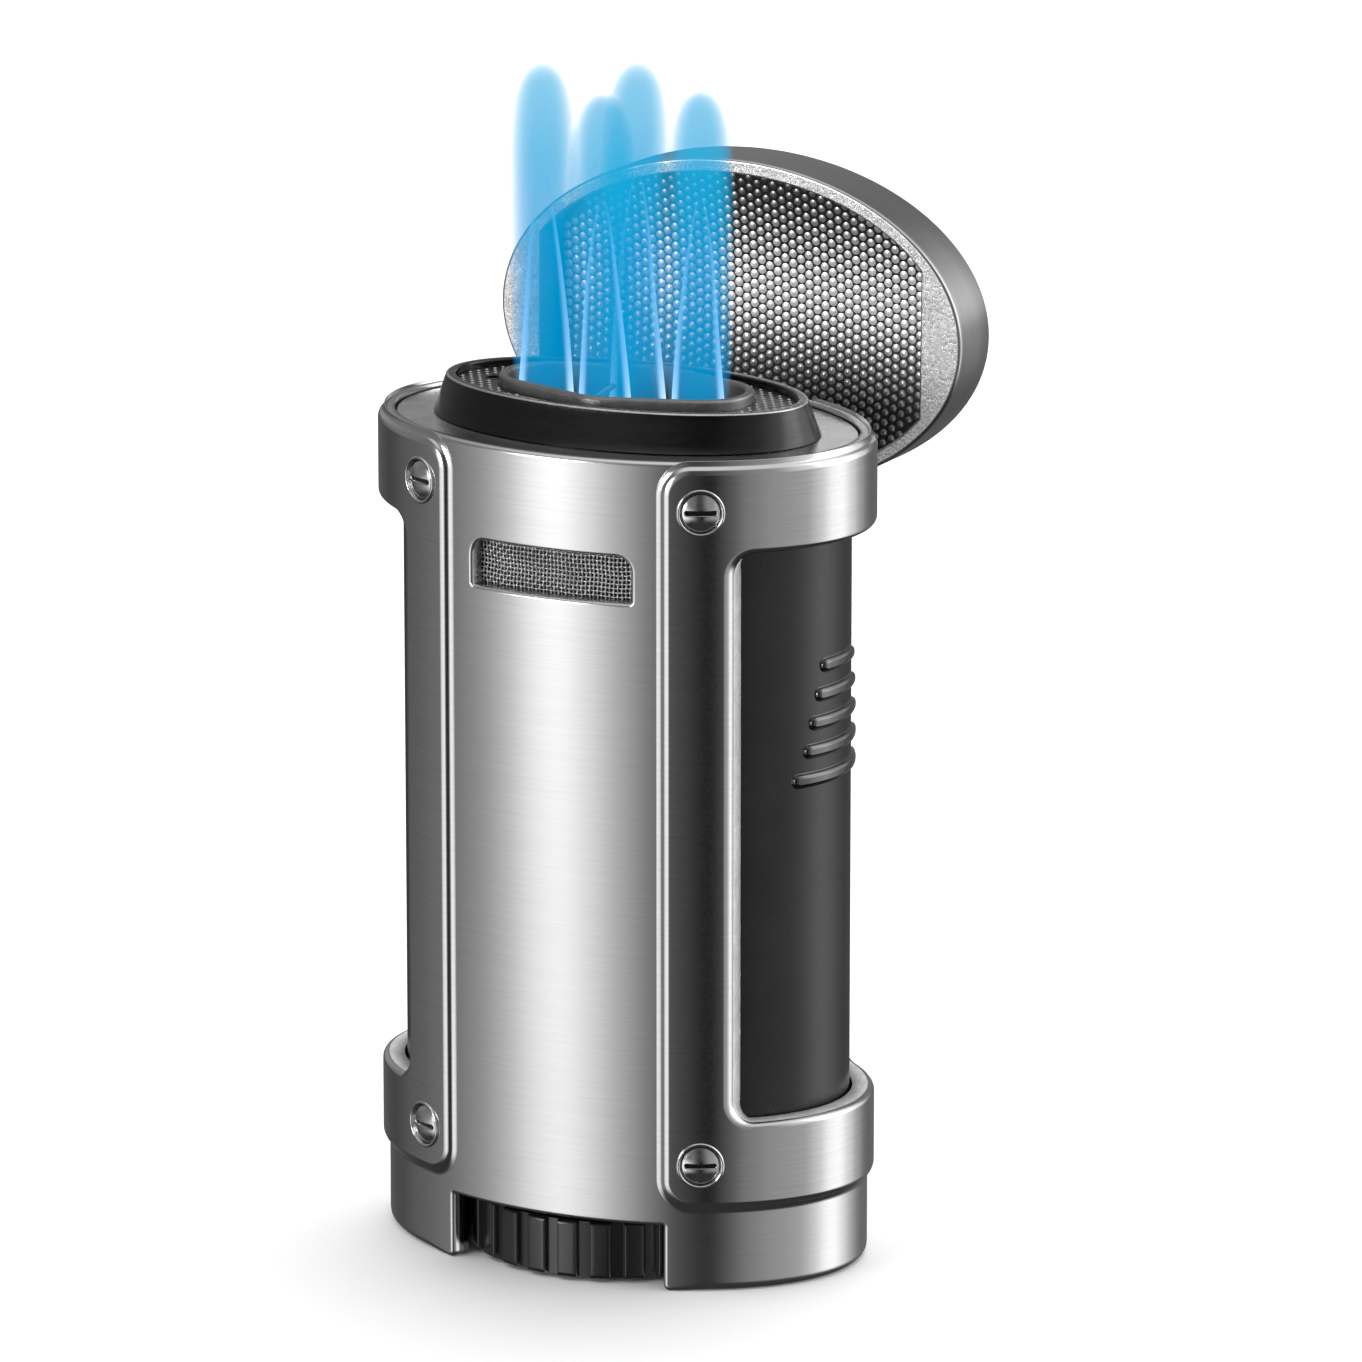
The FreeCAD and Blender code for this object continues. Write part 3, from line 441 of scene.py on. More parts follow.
# ---------------- materials
class Nodes:
    """Adds linked nodes to a node tree. An input is given as a value or as the socket that feeds it."""

    def __init__(self, owner, clear=False):
        owner.use_nodes = True
        self.nt = owner.node_tree
        if clear:
            self.nt.nodes.clear()

    def feed(self, socket, value):
        if isinstance(value, bpy.types.NodeSocket):
            self.nt.links.new(value, socket)
        else:
            socket.default_value = value

    def node(self, kind, inputs, **settings):
        n = self.nt.nodes.new("ShaderNode" + kind)
        for key, value in settings.items():
            setattr(n, key, value)
        for key, value in inputs.items():
            self.feed(n.inputs[key], value)
        return n

    def math(self, operation, *values):
        return self.node("Math", dict(enumerate(values)), operation=operation).outputs[0]

    def range(self, value, low, high, from_low=0.3, from_high=0.7, kind="LINEAR"):
        ends = {"Value": value, "From Min": from_low, "From Max": from_high, "To Min": low, "To Max": high}
        return self.node("MapRange", ends, interpolation_type=kind).outputs["Result"]

    def mix(self, share, under, over):
        return self.node("Mix", {0: share, 6: under, 7: over}, data_type="RGBA").outputs[2]

    def ramp(self, value, stops, kind="LINEAR"):
        """Colour by value, from (place, colour) stops in rising order."""
        n = self.node("ValToRGB", {0: value})
        n.color_ramp.interpolation = kind
        elements = n.color_ramp.elements
        while len(elements) < len(stops):
            elements.new(0.5)
        for element, (place, colour) in zip(elements, stops):
            element.position, element.color = place, (*colour, 1)
        return n.outputs[0]


class Shader(Nodes):
    """A Principled material. Lengths are in millimetres."""

    def __init__(self, name, colour, metallic=0.0, rough=0.5, **sockets):
        self.mat = bpy.data.materials.new(name)
        super().__init__(self.mat)
        self.bsdf = self.nt.nodes["Principled BSDF"]
        self.set("Base Color", (*colour, 1))
        self.set("Metallic", metallic)
        self.set("Roughness", rough)
        for key, value in sockets.items():
            self.set(key.replace("_", " ").title().replace("Ior", "IOR"), value)
        self.place = self.node("TexCoord", {}).outputs["Object"]
        self.normal = None

    def set(self, socket, value):
        self.feed(self.bsdf.inputs[socket], value)

    def noise(self, cell, detail=2.0, rough=0.5, seed=0.0):
        """Noise whose cells measure (x, y, z) millimetres, or one size all ways."""
        cell = (cell,) * 3 if np.isscalar(cell) else cell
        shift, scale = (seed, seed * 1.7, seed * 0.6), [1000.0 / c for c in cell]
        mapping = self.node("Mapping", {"Vector": self.place, "Location": shift, "Scale": scale})
        inputs = {"Vector": mapping.outputs["Vector"], "Scale": 1.0, "Detail": detail, "Roughness": rough}
        return self.node("TexNoise", inputs).outputs["Fac"]

    def colour(self, value, dark, light, from_low=0.3, from_high=0.7):
        share = self.range(value, 0, 1, from_low, from_high)
        self.set("Base Color", self.mix(share, (*dark, 1), (*light, 1)))

    def rough(self, value, low, high):
        self.set("Roughness", self.range(value, low, high))

    def bump(self, value, depth):
        """Raise the surface by value times depth, in millimetres."""
        inputs = {"Strength": 1.0, "Distance": depth * MM, "Height": value}
        if self.normal is not None:
            inputs["Normal"] = self.normal
        self.normal = self.node("Bump", inputs).outputs["Normal"]
        self.set("Normal", self.normal)

    def brush_direction(self, amount):
        """Highlights drawn out across a brushing that runs round the Z axis."""
        self.set("Anisotropic", amount)
        self.set("Anisotropic Rotation", 0.25)
        self.set("Tangent", self.node("Tangent", {}, direction_type="RADIAL", axis="Z").outputs["Tangent"])


def brushed_steel():
    s = Shader("brushed_steel", (0.66, 0.66, 0.665), 1.0, 0.24)
    streak = s.noise((6.0, 6.0, 0.11), 3.0, 0.6)
    broad = s.noise((14.0, 14.0, 1.6), 2.0, 0.5, 3.0)
    s.colour(streak, (0.645, 0.645, 0.65), (0.685, 0.685, 0.69))
    s.rough(broad, 0.235, 0.26)
    s.bump(streak, 0.0004)
    s.brush_direction(0.5)
    return s.mat


def satin_nickel():
    s = Shader("satin_nickel", (0.6, 0.6, 0.605), 1.0, 0.18)
    streak = s.noise((6.0, 6.0, 0.14), 3.0, 0.6, 5.0)
    grain = s.noise(0.3, 3.0, 0.6, 2.0)
    s.colour(streak, (0.6, 0.6, 0.605), (0.66, 0.66, 0.665))
    s.rough(grain, 0.15, 0.2)
    s.bump(streak, 0.0004)
    s.bump(grain, 0.0003)
    s.brush_direction(0.3)
    return s.mat


def cast_metal(name, tone, grain_mm, depth, rough=(0.12, 0.3), metallic=1.0):
    s = Shader(name, (tone,) * 3, metallic, rough[0])
    grain = s.noise(grain_mm, 3.0, 0.65)
    flow = s.noise(2.2, 3.0, 0.6, 4.0)
    s.colour(flow, (tone * 0.85,) * 3, (min(1, tone * 1.15),) * 3)
    s.rough(grain, *rough)
    s.bump(grain, depth)
    return s.mat


def black_gloss(name, tone, rough, grain_mm, depth, specular=0.6, coat=0.0, metallic=0.0):
    s = Shader(name, (tone,) * 3, metallic, rough[0], specular_ior_level=specular, coat_weight=coat)
    s.set("Coat Roughness", 0.08)
    fine = s.noise(grain_mm, 3.0, 0.6)
    broad = s.noise(5.0, 2.0, 0.5, 7.0)
    s.colour(broad, (tone * 0.8,) * 3, (tone * 1.25,) * 3)
    s.rough(fine, *rough)
    s.bump(fine, depth)
    return s.mat


def black_metal():
    s = Shader("black_metal", (0.06,) * 3, 1.0, 0.2, coat_weight=0.4)
    s.set("Coat Roughness", 0.1)
    streak = s.noise((4.0, 4.0, 0.2), 3.0, 0.6, 1.0)
    grain = s.noise(0.5, 2.0, 0.5, 6.0)
    s.colour(streak, (0.028,) * 3, (0.042,) * 3)
    s.rough(grain, 0.18, 0.26)
    s.bump(streak, 0.001)
    return s.mat


def plain_metal(name, colour, rough=(0.2, 0.35), grain_mm=0.4, depth=0.001, metallic=1.0):
    s = Shader(name, colour, metallic, rough[0])
    grain = s.noise(grain_mm, 3.0, 0.6)
    s.colour(grain, tuple(c * 0.85 for c in colour), tuple(min(1, c * 1.1) for c in colour))
    s.rough(grain, *rough)
    s.bump(grain, depth)
    return s.mat


def plain_plastic(name, colour, rough=(0.35, 0.5)):
    s = Shader(name, colour, 0.0, rough[0])
    grain = s.noise(0.3, 2.0, 0.5)
    s.colour(grain, tuple(c * 0.9 for c in colour), tuple(min(1, c * 1.08) for c in colour))
    s.rough(grain, *rough)
    s.bump(grain, 0.002)
    return s.mat


def dimple_metal_painted_band():
    """Dimples painted white in a bright band over the jets as a painted highlight, and painted darker towards
    both ends of the plate as painted shade.
    """
    s = Shader("lid_dot_painted_band", (0.97,) * 3, 0.9, 0.3)
    grain = s.noise(0.3, 3.0, 0.6)
    height = s.node("SeparateXYZ", {0: s.place}).outputs[2]
    away = s.math("ABSOLUTE", s.math("SUBTRACT", height, (HINGE_Z + HINGE_Y - PAINTED_BAND_Y) * MM))
    # Painted highlight and shade: colour runs from white at the band height to dark grey 9.5 mm away, and the
    # metallic share rises with it.
    s.colour(away, (1, 1, 1), (0.28,) * 3, 0.002, 0.0095)
    s.set("Metallic", s.range(away, 0.5, 1.0, 0.002, 0.009))
    s.rough(grain, 0.25, 0.36)
    s.bump(grain, 0.002)
    return s.mat


def lid_satin():
    s = Shader("lid_satin", (0.5,) * 3, 1.0, 0.24)
    fine = s.noise((4.0, 0.15, 4.0), 3.0, 0.6)
    broad = s.noise(3.0, 2.0, 0.5, 2.0)
    s.colour(fine, (0.48,) * 3, (0.52,) * 3)
    s.rough(broad, 0.22, 0.27)
    s.bump(fine, 0.0002)
    return s.mat


STEEL = brushed_steel()
NICKEL = satin_nickel()
DECK = cast_metal("cast_deck", 0.85, 0.35, 0.03, (0.06, 0.15), 1.0)
RIM = cast_metal("cast_lid_rim", 0.98, 0.3, 0.2, (0.2, 0.35), 0.75)
CAST_WALL = cast_metal("cast_window_wall", 0.8, 0.35, 0.12, (0.35, 0.6), 0.4)
GUN = cast_metal("gunmetal_guard", 0.26, 0.25, 0.03, (0.35, 0.55))
PANEL = black_gloss("panel_black", 0.008, (0.26, 0.34), 0.4, 0.001)
BEAD = black_gloss("rib_black", 0.075, (0.06, 0.1), 0.5, 0.0004, 1.0, 1.0, 1.0)
BLACK = black_metal()
PALE_EDGE = cast_metal("pale_collar_edge", 0.6, 0.3, 0.02, (0.2, 0.35))
WHEEL = black_gloss("wheel_black", 0.012, (0.16, 0.22), 0.3, 0.0006, 0.8)
SCREW = plain_metal("polished_screw", (0.72, 0.72, 0.72), (0.08, 0.2), 0.5, 0.004)
PLAIN_STEEL = plain_metal("plain_steel", (0.5, 0.5, 0.51))
BRASS = plain_metal("brass", (0.72, 0.5, 0.2))
DOT = dimple_metal_painted_band()
# Painted shade: the plate under and between the dimples is near-black, standing in for the shade in the gaps.
DOT_GAP_SHADE = plain_metal("lid_plate_painted_gap_shade", (0.06, 0.06, 0.06), (0.3, 0.45), 0.2, 0.002)
WIRE = plain_metal("mesh_wire", (0.95, 0.95, 0.95), (0.25, 0.35), 0.2, 0.001, 0.9)
SCREEN = black_gloss("screen_black", 0.006, (0.25, 0.35), 0.15, 0.002, 0.7)
SCREEN_DOT = plain_metal("screen_dot", (0.6, 0.6, 0.6), (0.12, 0.2), 0.2, 0.001)
GREY = plain_plastic("grey_plastic", (0.25, 0.25, 0.27))
TANK = plain_plastic("tank_plastic", (0.7, 0.7, 0.66))
CERAMIC = plain_plastic("ceramic", (0.8, 0.78, 0.72), (0.2, 0.3))
RUBBER = plain_plastic("rubber", (0.03, 0.03, 0.03), (0.6, 0.75))
RED = plain_plastic("red_wire", (0.4, 0.03, 0.02), (0.3, 0.4))
LID = lid_satin()

SLOT_MATERIALS = {
    "brushed_steel": STEEL, "satin_nickel": NICKEL, "polished_screw": SCREW, "black_plastic": PANEL,
    "black_metal": BLACK, "cast_metal": DECK, "gunmetal": GUN, "dark_mesh": SCREEN, "wire_mesh": WIRE,
    "lid_metal": LID, "dimpled_plate": DOT, "brass": BRASS, "steel": PLAIN_STEEL, "spring_steel": PLAIN_STEEL,
    "tank_plastic": TANK, "grey_plastic": GREY, "ceramic": CERAMIC, "rubber": RUBBER, "red_wire": RED,
}
for part in frame["record"]["subparts"]:
    node_mesh = frame["nodes"][part["node"]].data
    node_mesh.materials.clear()
    node_mesh.materials.append(SLOT_MATERIALS[part["material_slot"]])

# ---------------- body shell
SHELL = Oval(SHELL_AX, SHELL_AY)
STEP = (0.5, 2.5)
edge_s = SHELL.at_x(FRAME_EDGE_X)
window_s = SHELL.at_x(WINDOW_X)
half_way = SHELL.length / 2


def build_shell():
    b = Build()
    ns = SHELL.at_x(NOTCH_HALF)
    rs = half_way - SHELL.at_x(REAR_NOTCH_HALF)
    right = [(ns, NOTCH_Z, 0.12), (ns, 0, 0.55), (half_way, 0, 0),
             (half_way, REAR_NOTCH_Z, 0), (rs, REAR_NOTCH_Z, 0.8), (rs, SHELL_H, 0.5)]
    left = [(-u, z, r) for u, z, r in reversed(right)]
    outline = rounded_loop(left[3:] + right + left[:3], STEP)
    mid = (outline + np.roll(outline, -1, 0)) / 2
    seam = np.abs(np.abs(mid[:, 0]) - half_way) < 1e-6
    low = (outline[:, 1] < 0.02) & (np.abs(outline[:, 0]) > ns)
    away = np.clip((np.abs(outline[:, 0]) - ns - 0.6) / 3, 0, 1)
    radius = np.where(low, 0.4 + 0.45 * away, 0.4)
    depth = np.where(outline[:, 1] > SHELL_H - 0.1, RIM_WALL, SHELL_WALL)
    slot_s = SHELL.at_x(SLOT_HALF)
    slot = rounded_loop([(-slot_s, SLOT_Z0, 0.25), (slot_s, SLOT_Z0, 0.25), (slot_s, SLOT_Z1, SLOT_CORNER_R),
                         (-slot_s, SLOT_Z1, SLOT_CORNER_R)], STEP)[::-1].copy()
    contours = [(outline, walled(depth), radius, seam), (slot, walled(SHELL_WALL, 6), 0.35, None)]
    wider = 0.3
    for side in (-1, 1):
        u0, u1 = sorted((side * (window_s - wider), side * (half_way - window_s + wider)))
        window = rectangle(u0, u1, WINDOW_Z0 - wider, WINDOW_Z1 + wider, WINDOW_CORNER_R + wider, STEP, True)
        contours.append((window, walled(SHELL_WALL), 0.1, None))
    plate(b, SHELL, contours, STEP)
    b.finish("body_shell", [STEEL], "body")


def build_frame(node):
    b = Build()
    wide, below, t = 1.15, -0.06, np.linspace(0, 1, 25)
    slope = np.radians(np.interp(np.minimum(t, 1 - t), [0, 0.1, 0.34, 0.5], [0, 20, 27, 60]))
    climb = np.concatenate([[0], np.cumsum((np.tan(slope[1:]) + np.tan(slope[:-1])) / 2)])
    rise = [(0, wide * (a - 0.5), 0, FRAME_H * c / climb[-1]) for a, c in zip(t, climb)]
    outer_edge = [(0, wide / 2, 0, below), (0, -wide / 2, 0, below)] + rise
    inner_foot = -SHELL_WALL - 0.1
    inner_edge = [(1, 0, 0, below), (0, 0.28, 0, below), (0, 0.28, 0, inner_foot), (0, 0, 0, inner_foot)]
    inner_edge += [(i, 0, h, FRAME_H) for i, h in fillet(6)]
    wall_strips = [1] * 4 + [0] * (len(inner_edge) - 5)
    step, lean = (0.5, 2.0), 0.655
    outline = rectangle(edge_s, half_way - edge_s, FRAME_Z0, FRAME_Z1, FRAME_CORNER_R, step)
    window = rectangle(window_s, half_way - window_s, WINDOW_Z0, WINDOW_Z1, WINDOW_CORNER_R, step, True)
    screw_s = SHELL.at_x(SCREW_X / (SHELL_AX + FRAME_H) * SHELL_AX)
    contours = [(outline, outer_edge, 1.0, None), (window, inner_edge, 0.55, None, lean, wall_strips)]
    for u in (screw_s, half_way - screw_s):
        for z in SCREW_ZS:
            hole = circle(u, z, SCREW_R + 0.1, 40, True)
            contours.append((hole, walled(-below, 3, FRAME_H), 0.14, None))
    plate(b, SHELL, contours, (0.5, 1.2))
    if node == "side_frame_left":
        b.mirror()
    b.finish(node, [NICKEL, CAST_WALL], "body")


build_shell()
build_frame("side_frame_right")
build_frame("side_frame_left")


# ---------------- screws
def build_screws(node, side):
    """Slotted screws with a raised ring round each, on the front (side 1) or the rear (side -1)."""
    b = Build()
    ax, ay = SHELL_AX + FRAME_H, SHELL_AY + FRAME_H
    y = -ay * math.sqrt(1 - (SCREW_X / ax) ** 2)
    rise, slot_x, slot_z, end_r = 0.42, 1.32, 0.2, 0.18

    def crown(u, v):
        curve = rise / SCREW_R ** 2
        return rise - curve * (u * u + v * v), -2 * curve * u, -2 * curve * v

    cut = [(0, 0, 0, -0.3), (0, 0, 0, -0.1), (0.3, 0, 0, -0.03), (1, 0, 0, 0)]
    slot = rectangle(-slot_x, slot_x, -slot_z, slot_z, end_r, (0.25, 0.25), True)
    head = [(circle(0, 0, SCREW_R, 48), walled(0.5, 4), 0.16, None), (slot, cut, 0.07, None)]
    floor_loop = rectangle(-slot_x - 0.02, slot_x + 0.02, -slot_z - 0.02, slot_z + 0.02, end_r, (0.25, 0.25))
    slot_floor_shade = [(floor_loop, [(0, 0, 0, -0.25), (0, 0.01, 0, -0.25)], 1.0, None)]
    for sx in (1, -1):
        for z in SCREW_ZS:
            at = np.array([sx * SCREW_X, side * y, z])
            n = np.array([at[0] / ax ** 2, at[1] / ay ** 2, 0])
            n /= np.linalg.norm(n)
            face = Plane(at - n * 0.1, np.cross([0, 0, 1.0], n), (0, 0, 1))
            plate(b, face, head, (0.25, 0.25), back=False, crown=crown)
            # Painted shade: each slot's floor is near-black, standing in for the shade down in the slot.
            plate(b, face, slot_floor_shade, (0.3, 0.3), back=False, mat=1)
            rings = []
            for t in np.linspace(0, 2 * math.pi, 12, endpoint=False)[::-1]:
                around = circle(0, 0, SCREW_R + 0.24 + 0.15 * math.cos(t), 56)
                lift = np.full(len(around), 0.11 + 0.15 * math.sin(t))
                rings.append(face.place(around[:, 0], around[:, 1], lift)[0])
            loft(b, rings, closed=True)
    b.finish(node, [SCREW, SCREEN], "body")


build_screws("frame_screws_front", 1)
build_screws("frame_screws_rear", -1)


# ---------------- side cover and trigger with its ribs
def build_panel(node, body):
    oval = Oval(PANEL_AX, PANEL_AY)
    b = Build()
    half = oval.length / 2
    mid = half / 2
    s0 = oval.at_x(PANEL_X)
    loop = rectangle(s0, half - s0, PANEL_Z0, PANEL_Z1, 0.3, (0.5, 3.0))
    plate(b, oval, [(loop, walled(PANEL_T, 3), 0.2, None)], (0.5, 3.0))
    if node == "side_cover_left":
        b.mirror()
    else:
        foot, inset, width = 0.09, 0.01, 0.5
        rise = RIB_PROUD - foot
        arc = np.arange(1, 7) / 6 * 0.88 * math.pi / 2
        round_over = [(0, inset + width * (1 - math.cos(t)), 0, foot + rise * math.sin(t)) for t in arc]
        edge = [(0, round_over[-1][1], 0, -0.3), (0, -0.1, 0, -0.3), (0, -0.1, 0, 0), (0, -0.03, 0, 0.02),
                (0, inset, 0, foot)] + round_over
        for z, reach in RIBS:
            length = mid - float(np.interp(math.acos(reach / PANEL_AY), oval.phi, oval.s))
            end_r = RIB_HALF * 0.9999
            rib = rectangle(mid - length, mid + length, z - RIB_HALF, z + RIB_HALF, end_r, (0.4, 0.4))
            plate(b, oval, [(rib, edge, 1.0, None)], (0.4, 0.12), back=False, mat=1)
    b.finish(node, [PANEL, BEAD], body)


build_panel("side_cover_left", "body")
build_panel("trigger_panel", "trigger")


# ---------------- flame wheel
def build_wheel():
    b = Build()
    depth, half, soft = 0.5, 0.55 / WHEEL_R, 0.16 / WHEEL_R
    span = 2 * math.pi / WHEEL_GROOVES
    tooth_edge = ((0.0, 0.3), (0.12, 0.16), (0.35, 0.07), (0.65, 0.02), (1.0, 0.0))
    land = np.linspace(half + soft, span - half - soft, 6)[1:-1]
    tooth = [(t * half, depth) for t in (-0.85, -0.4, 0, 0.4, 0.85)]
    tooth += [(half + soft * t, drop) for t, drop in tooth_edge]
    tooth += [(t, 0.0) for t in land]
    tooth += [(span - half - soft * t, drop) for t, drop in reversed(tooth_edge)]
    angle = np.array([k * span + t for k in range(WHEEL_GROOVES) for t, _ in tooth])
    radius = np.array([WHEEL_R - drop for k in range(WHEEL_GROOVES) for _, drop in tooth])

    def ring(most, z):
        r = np.minimum(radius, most)
        return np.stack([r * np.cos(angle), WHEEL_Y + r * np.sin(angle), np.full(len(r), z)], 1)

    upper, lower = 0.25, 0.4
    bore_r, head_r, hub_r, recess_r, recess, head_z = 1.5, 2.3, 4.4, 10.6, 0.6, 1.6
    rings = [ring(bore_r, WHEEL_Z1 - 0.02), ring(WHEEL_R - 1.2, WHEEL_Z1)]
    for t in np.linspace(math.pi / 2, 0, 6):
        rings.append(ring(WHEEL_R - upper * (1 - math.cos(t)), WHEEL_Z1 - upper * (1 - math.sin(t))))
    for z in np.linspace(WHEEL_Z1 - upper, WHEEL_Z0 + lower, 6)[1:]:
        rings.append(ring(WHEEL_R, z))
    for t in np.linspace(0, math.pi / 2, 7)[1:]:
        rings.append(ring(WHEEL_R - lower * (1 - math.cos(t)), WHEEL_Z0 + lower * (1 - math.sin(t))))
    roof = WHEEL_Z0 + recess
    rings += [ring(recess_r, WHEEL_Z0), ring(recess_r - 0.1, roof), ring(hub_r + 0.1, roof)]
    rings += [ring(hub_r, WHEEL_Z0), ring(head_r, WHEEL_Z0), ring(head_r, head_z), ring(bore_r, head_z)]
    loft(b, rings[::-1], closed=True)
    b.finish("flame_adjust_wheel", [WHEEL], "wheel", sharp=32)


build_wheel()


# ---------------- burner collar, screen, guard
def build_collar():
    b = Build()
    count, slope_parts, top_fillet, in_fillet, ledge = 260, 8, 0.2, 0.15, 0.8
    foot = [(COLLAR_IN_AX - ledge, COLLAR_IN_AY - ledge, COLLAR_Z0),
            (COLLAR_AX0 - 0.1, COLLAR_AY0 - 0.1, COLLAR_Z0), (COLLAR_AX0, COLLAR_AY0, COLLAR_Z0 + 0.1)]
    height = COLLAR_Z1 - COLLAR_Z0
    slope_x, slope_y = (COLLAR_AX1 - COLLAR_AX0) / height, (COLLAR_AY1 - COLLAR_AY0) / height
    slope = []
    for dz in (height - top_fillet) * np.arange(1, slope_parts + 1) / slope_parts:
        slope.append((COLLAR_AX0 + slope_x * dz, COLLAR_AY0 + slope_y * dz, COLLAR_Z0 + dz))
    top_ax, top_ay = slope[-1][:2]
    top = []
    for t in np.linspace(0, math.pi / 2, 5)[1:]:
        inset = 0.22 * (1 - math.cos(t))
        top.append((top_ax - inset, top_ay - inset, COLLAR_Z1 - top_fillet * (1 - math.sin(t))))
    inner = []
    for t in np.linspace(0, math.pi / 2, 4):
        inset = in_fillet * (1 - math.sin(t))
        inner.append((COLLAR_IN_AX + inset, COLLAR_IN_AY + inset, COLLAR_Z1 - in_fillet * (1 - math.cos(t))))
    seat = SCREEN_Z - 0.6
    inner += [(COLLAR_IN_AX, COLLAR_IN_AY, seat), (COLLAR_IN_AX - ledge, COLLAR_IN_AY - ledge, seat)]
    loft(b, [at_height(ellipse(ax, ay, count), z) for ax, ay, z in foot + slope + top + inner], closed=True)
    # The top rounding of the collar takes a paler metal than the rest.
    pale_from = len(foot + slope) * count
    pale_to = pale_from + 3 * count
    b.mats[pale_from:pale_to] = [1] * (pale_to - pale_from)
    b.finish("burner_collar", [BLACK, PALE_EDGE], "body", sharp=38)


def lozenge(grow):
    """Rounded diamond outline with its rounding radii larger by grow."""
    end_r, side_r = GUARD_END_R + grow, GUARD_SIDE_R + grow
    gap = math.hypot(GUARD_END, GUARD_SIDE)
    turn = math.atan2(GUARD_SIDE, -GUARD_END) - math.acos((end_r - side_r) / gap)
    rest = math.pi / 2 - turn
    corners = ((GUARD_END, 0, end_r, 0, turn), (0, GUARD_SIDE, side_r, math.pi / 2, rest),
               (-GUARD_END, 0, end_r, math.pi, turn), (0, -GUARD_SIDE, side_r, -math.pi / 2, rest))
    return np.array([(x + r * math.cos(t), y + r * math.sin(t)) for x, y, r, middle, half in corners
                     for t in np.linspace(middle - half, middle + half, 26)])


def build_guard():
    b = Build()
    r = 0.3
    outer = [(-r * (1 - math.cos(t)), GUARD_Z1 - r * (1 - math.sin(t)))
             for t in np.linspace(0.3, math.pi / 2, 4)]
    inner = [(-GUARD_WALL + r * (1 - math.sin(t)), GUARD_Z1 - r * (1 - math.cos(t)))
             for t in np.linspace(0, math.pi / 2, 5)]
    section = [(0, GUARD_Z0), (0, GUARD_Z1 - r)] + outer + inner + [(-GUARD_WALL, GUARD_Z0)]
    loft(b, [at_height(lozenge(grow), z) for grow, z in section], closed=True)
    b.finish("flame_guard", [GUN], "body", sharp=38)


def dome(build, centre, normal, r, height, sides):
    """Shallow round cap whose slope grows evenly from its middle to its edge."""
    normal = np.asarray(normal, float)
    a = np.cross(normal, [1.0, 0, 0])
    a /= np.linalg.norm(a)
    c = np.cross(normal, a)
    rings = 3
    co = []
    for k in range(rings):
        wide = 1 - k / rings
        for i in range(sides):
            w = 2 * math.pi * i / sides
            across = (a * math.cos(w) + c * math.sin(w)) * r * wide
            co.append(centre + across + normal * height * (1 - wide ** 2))
    co.append(centre + normal * height)
    last = (rings - 1) * sides
    faces = strips(rings, sides) + [(last + i, last + (i + 1) % sides, last + sides) for i in range(sides)]
    build.add(np.array(co), faces, mat=1)


def build_screen():
    b = Build()
    top, pitch, margin = SCREEN_Z - 0.15, 0.81, 0.25
    hole_at, hole_r = (-12.3, -0.2), 0.62
    edge = [(1, 0, 0, -0.4), (0, 0, 0, -0.4), (0, 0, 0, 0), (1, 0, 0, 0)]
    loops = (ellipse(COLLAR_IN_AX - 0.05, COLLAR_IN_AY - 0.05, 160), lozenge(0.06)[::-1].copy(),
             circle(*hole_at, hole_r, 24, True))
    face = Plane((0, 0, top), (1, 0, 0), (0, 1, 0))
    plate(b, face, [(loop, edge, 0.05, None) for loop in loops], (1.2, 1.2))
    clear_of_guard = [lozenge(0.3)]
    for j in range(-13, 14):
        y = j * pitch * math.sqrt(3) / 2
        for i in range(-24, 25):
            x = (i + 0.5 * (j % 2)) * pitch
            in_collar = (x / (COLLAR_IN_AX - margin)) ** 2 + (y / (COLLAR_IN_AY - margin)) ** 2 < 1
            in_guard = inside(np.array([[x, y]]), clear_of_guard)[0]
            if in_collar and not in_guard and math.hypot(x - hole_at[0], y - hole_at[1]) > 0.95:
                dome(b, np.array([x, y, top]), (0, 0, 1), 0.21, 0.07, 8)
    raised = ((hole_r, -0.01), (0.72, 0.09), (0.8, 0.0))
    loft(b, [at_height(circle(*hole_at, r, 24, True), top + rise) for r, rise in raised])
    b.finish("collar_screen", [SCREEN, SCREEN_DOT], "body", sharp=50)


build_collar()
build_guard()
build_screen()


# ---------------- woven mesh behind the air slot
def build_air_mesh():
    b = Build()
    pitch, r, depth = 0.37, 0.068, -1.5
    s_half = SHELL.at_x(SLOT_HALF) + 0.7
    z0, z1 = SLOT_Z0 - 0.6, SLOT_Z1 + 0.6
    columns = int(2 * s_half / pitch)
    rows = int((z1 - z0) / pitch)

    def wire(u, v, weave):
        sway = 0.05 * np.sin(u * 1.3 + 0.5) + 0.04 * np.sin(v * 2.1 + u * 0.7)
        tube(b, SHELL.place(u, v, depth + sway + r * 1.1 * weave)[0], r, 5)

    for i in range(columns + 1):
        v = np.linspace(z0, z1, rows * 4 + 1)
        u = np.full_like(v, -s_half + i * pitch) + 0.04 * np.sin(v * 2.6)
        wire(u, v, np.cos(math.pi * ((v - z0) / pitch + i)))
    for j in range(rows + 1):
        u = np.linspace(-s_half, s_half, columns * 4 + 1)
        v = np.full_like(u, z0 + j * pitch) + 0.03 * np.sin(u * 1.7 + 1)
        wire(u, v, -np.cos(math.pi * ((u + s_half) / pitch + j)))
    # Painted shade: a near-black sheet just behind the wires stands in for the shade inside the body.
    shade_backing = [(0, 0.05, 0, -1.85), (0, 0, 0, -1.85), (0, 0, 0, -1.78), (0, 0.05, 0, -1.78)]
    loop = rectangle(-s_half, s_half, z0, z1, 0.1, (0.5, 2))
    plate(b, SHELL, [(loop, shade_backing, 1.0, None)], (0.5, 2), mat=1)
    b.finish("air_intake_mesh", [WIRE, SCREEN], "body")


build_air_mesh()
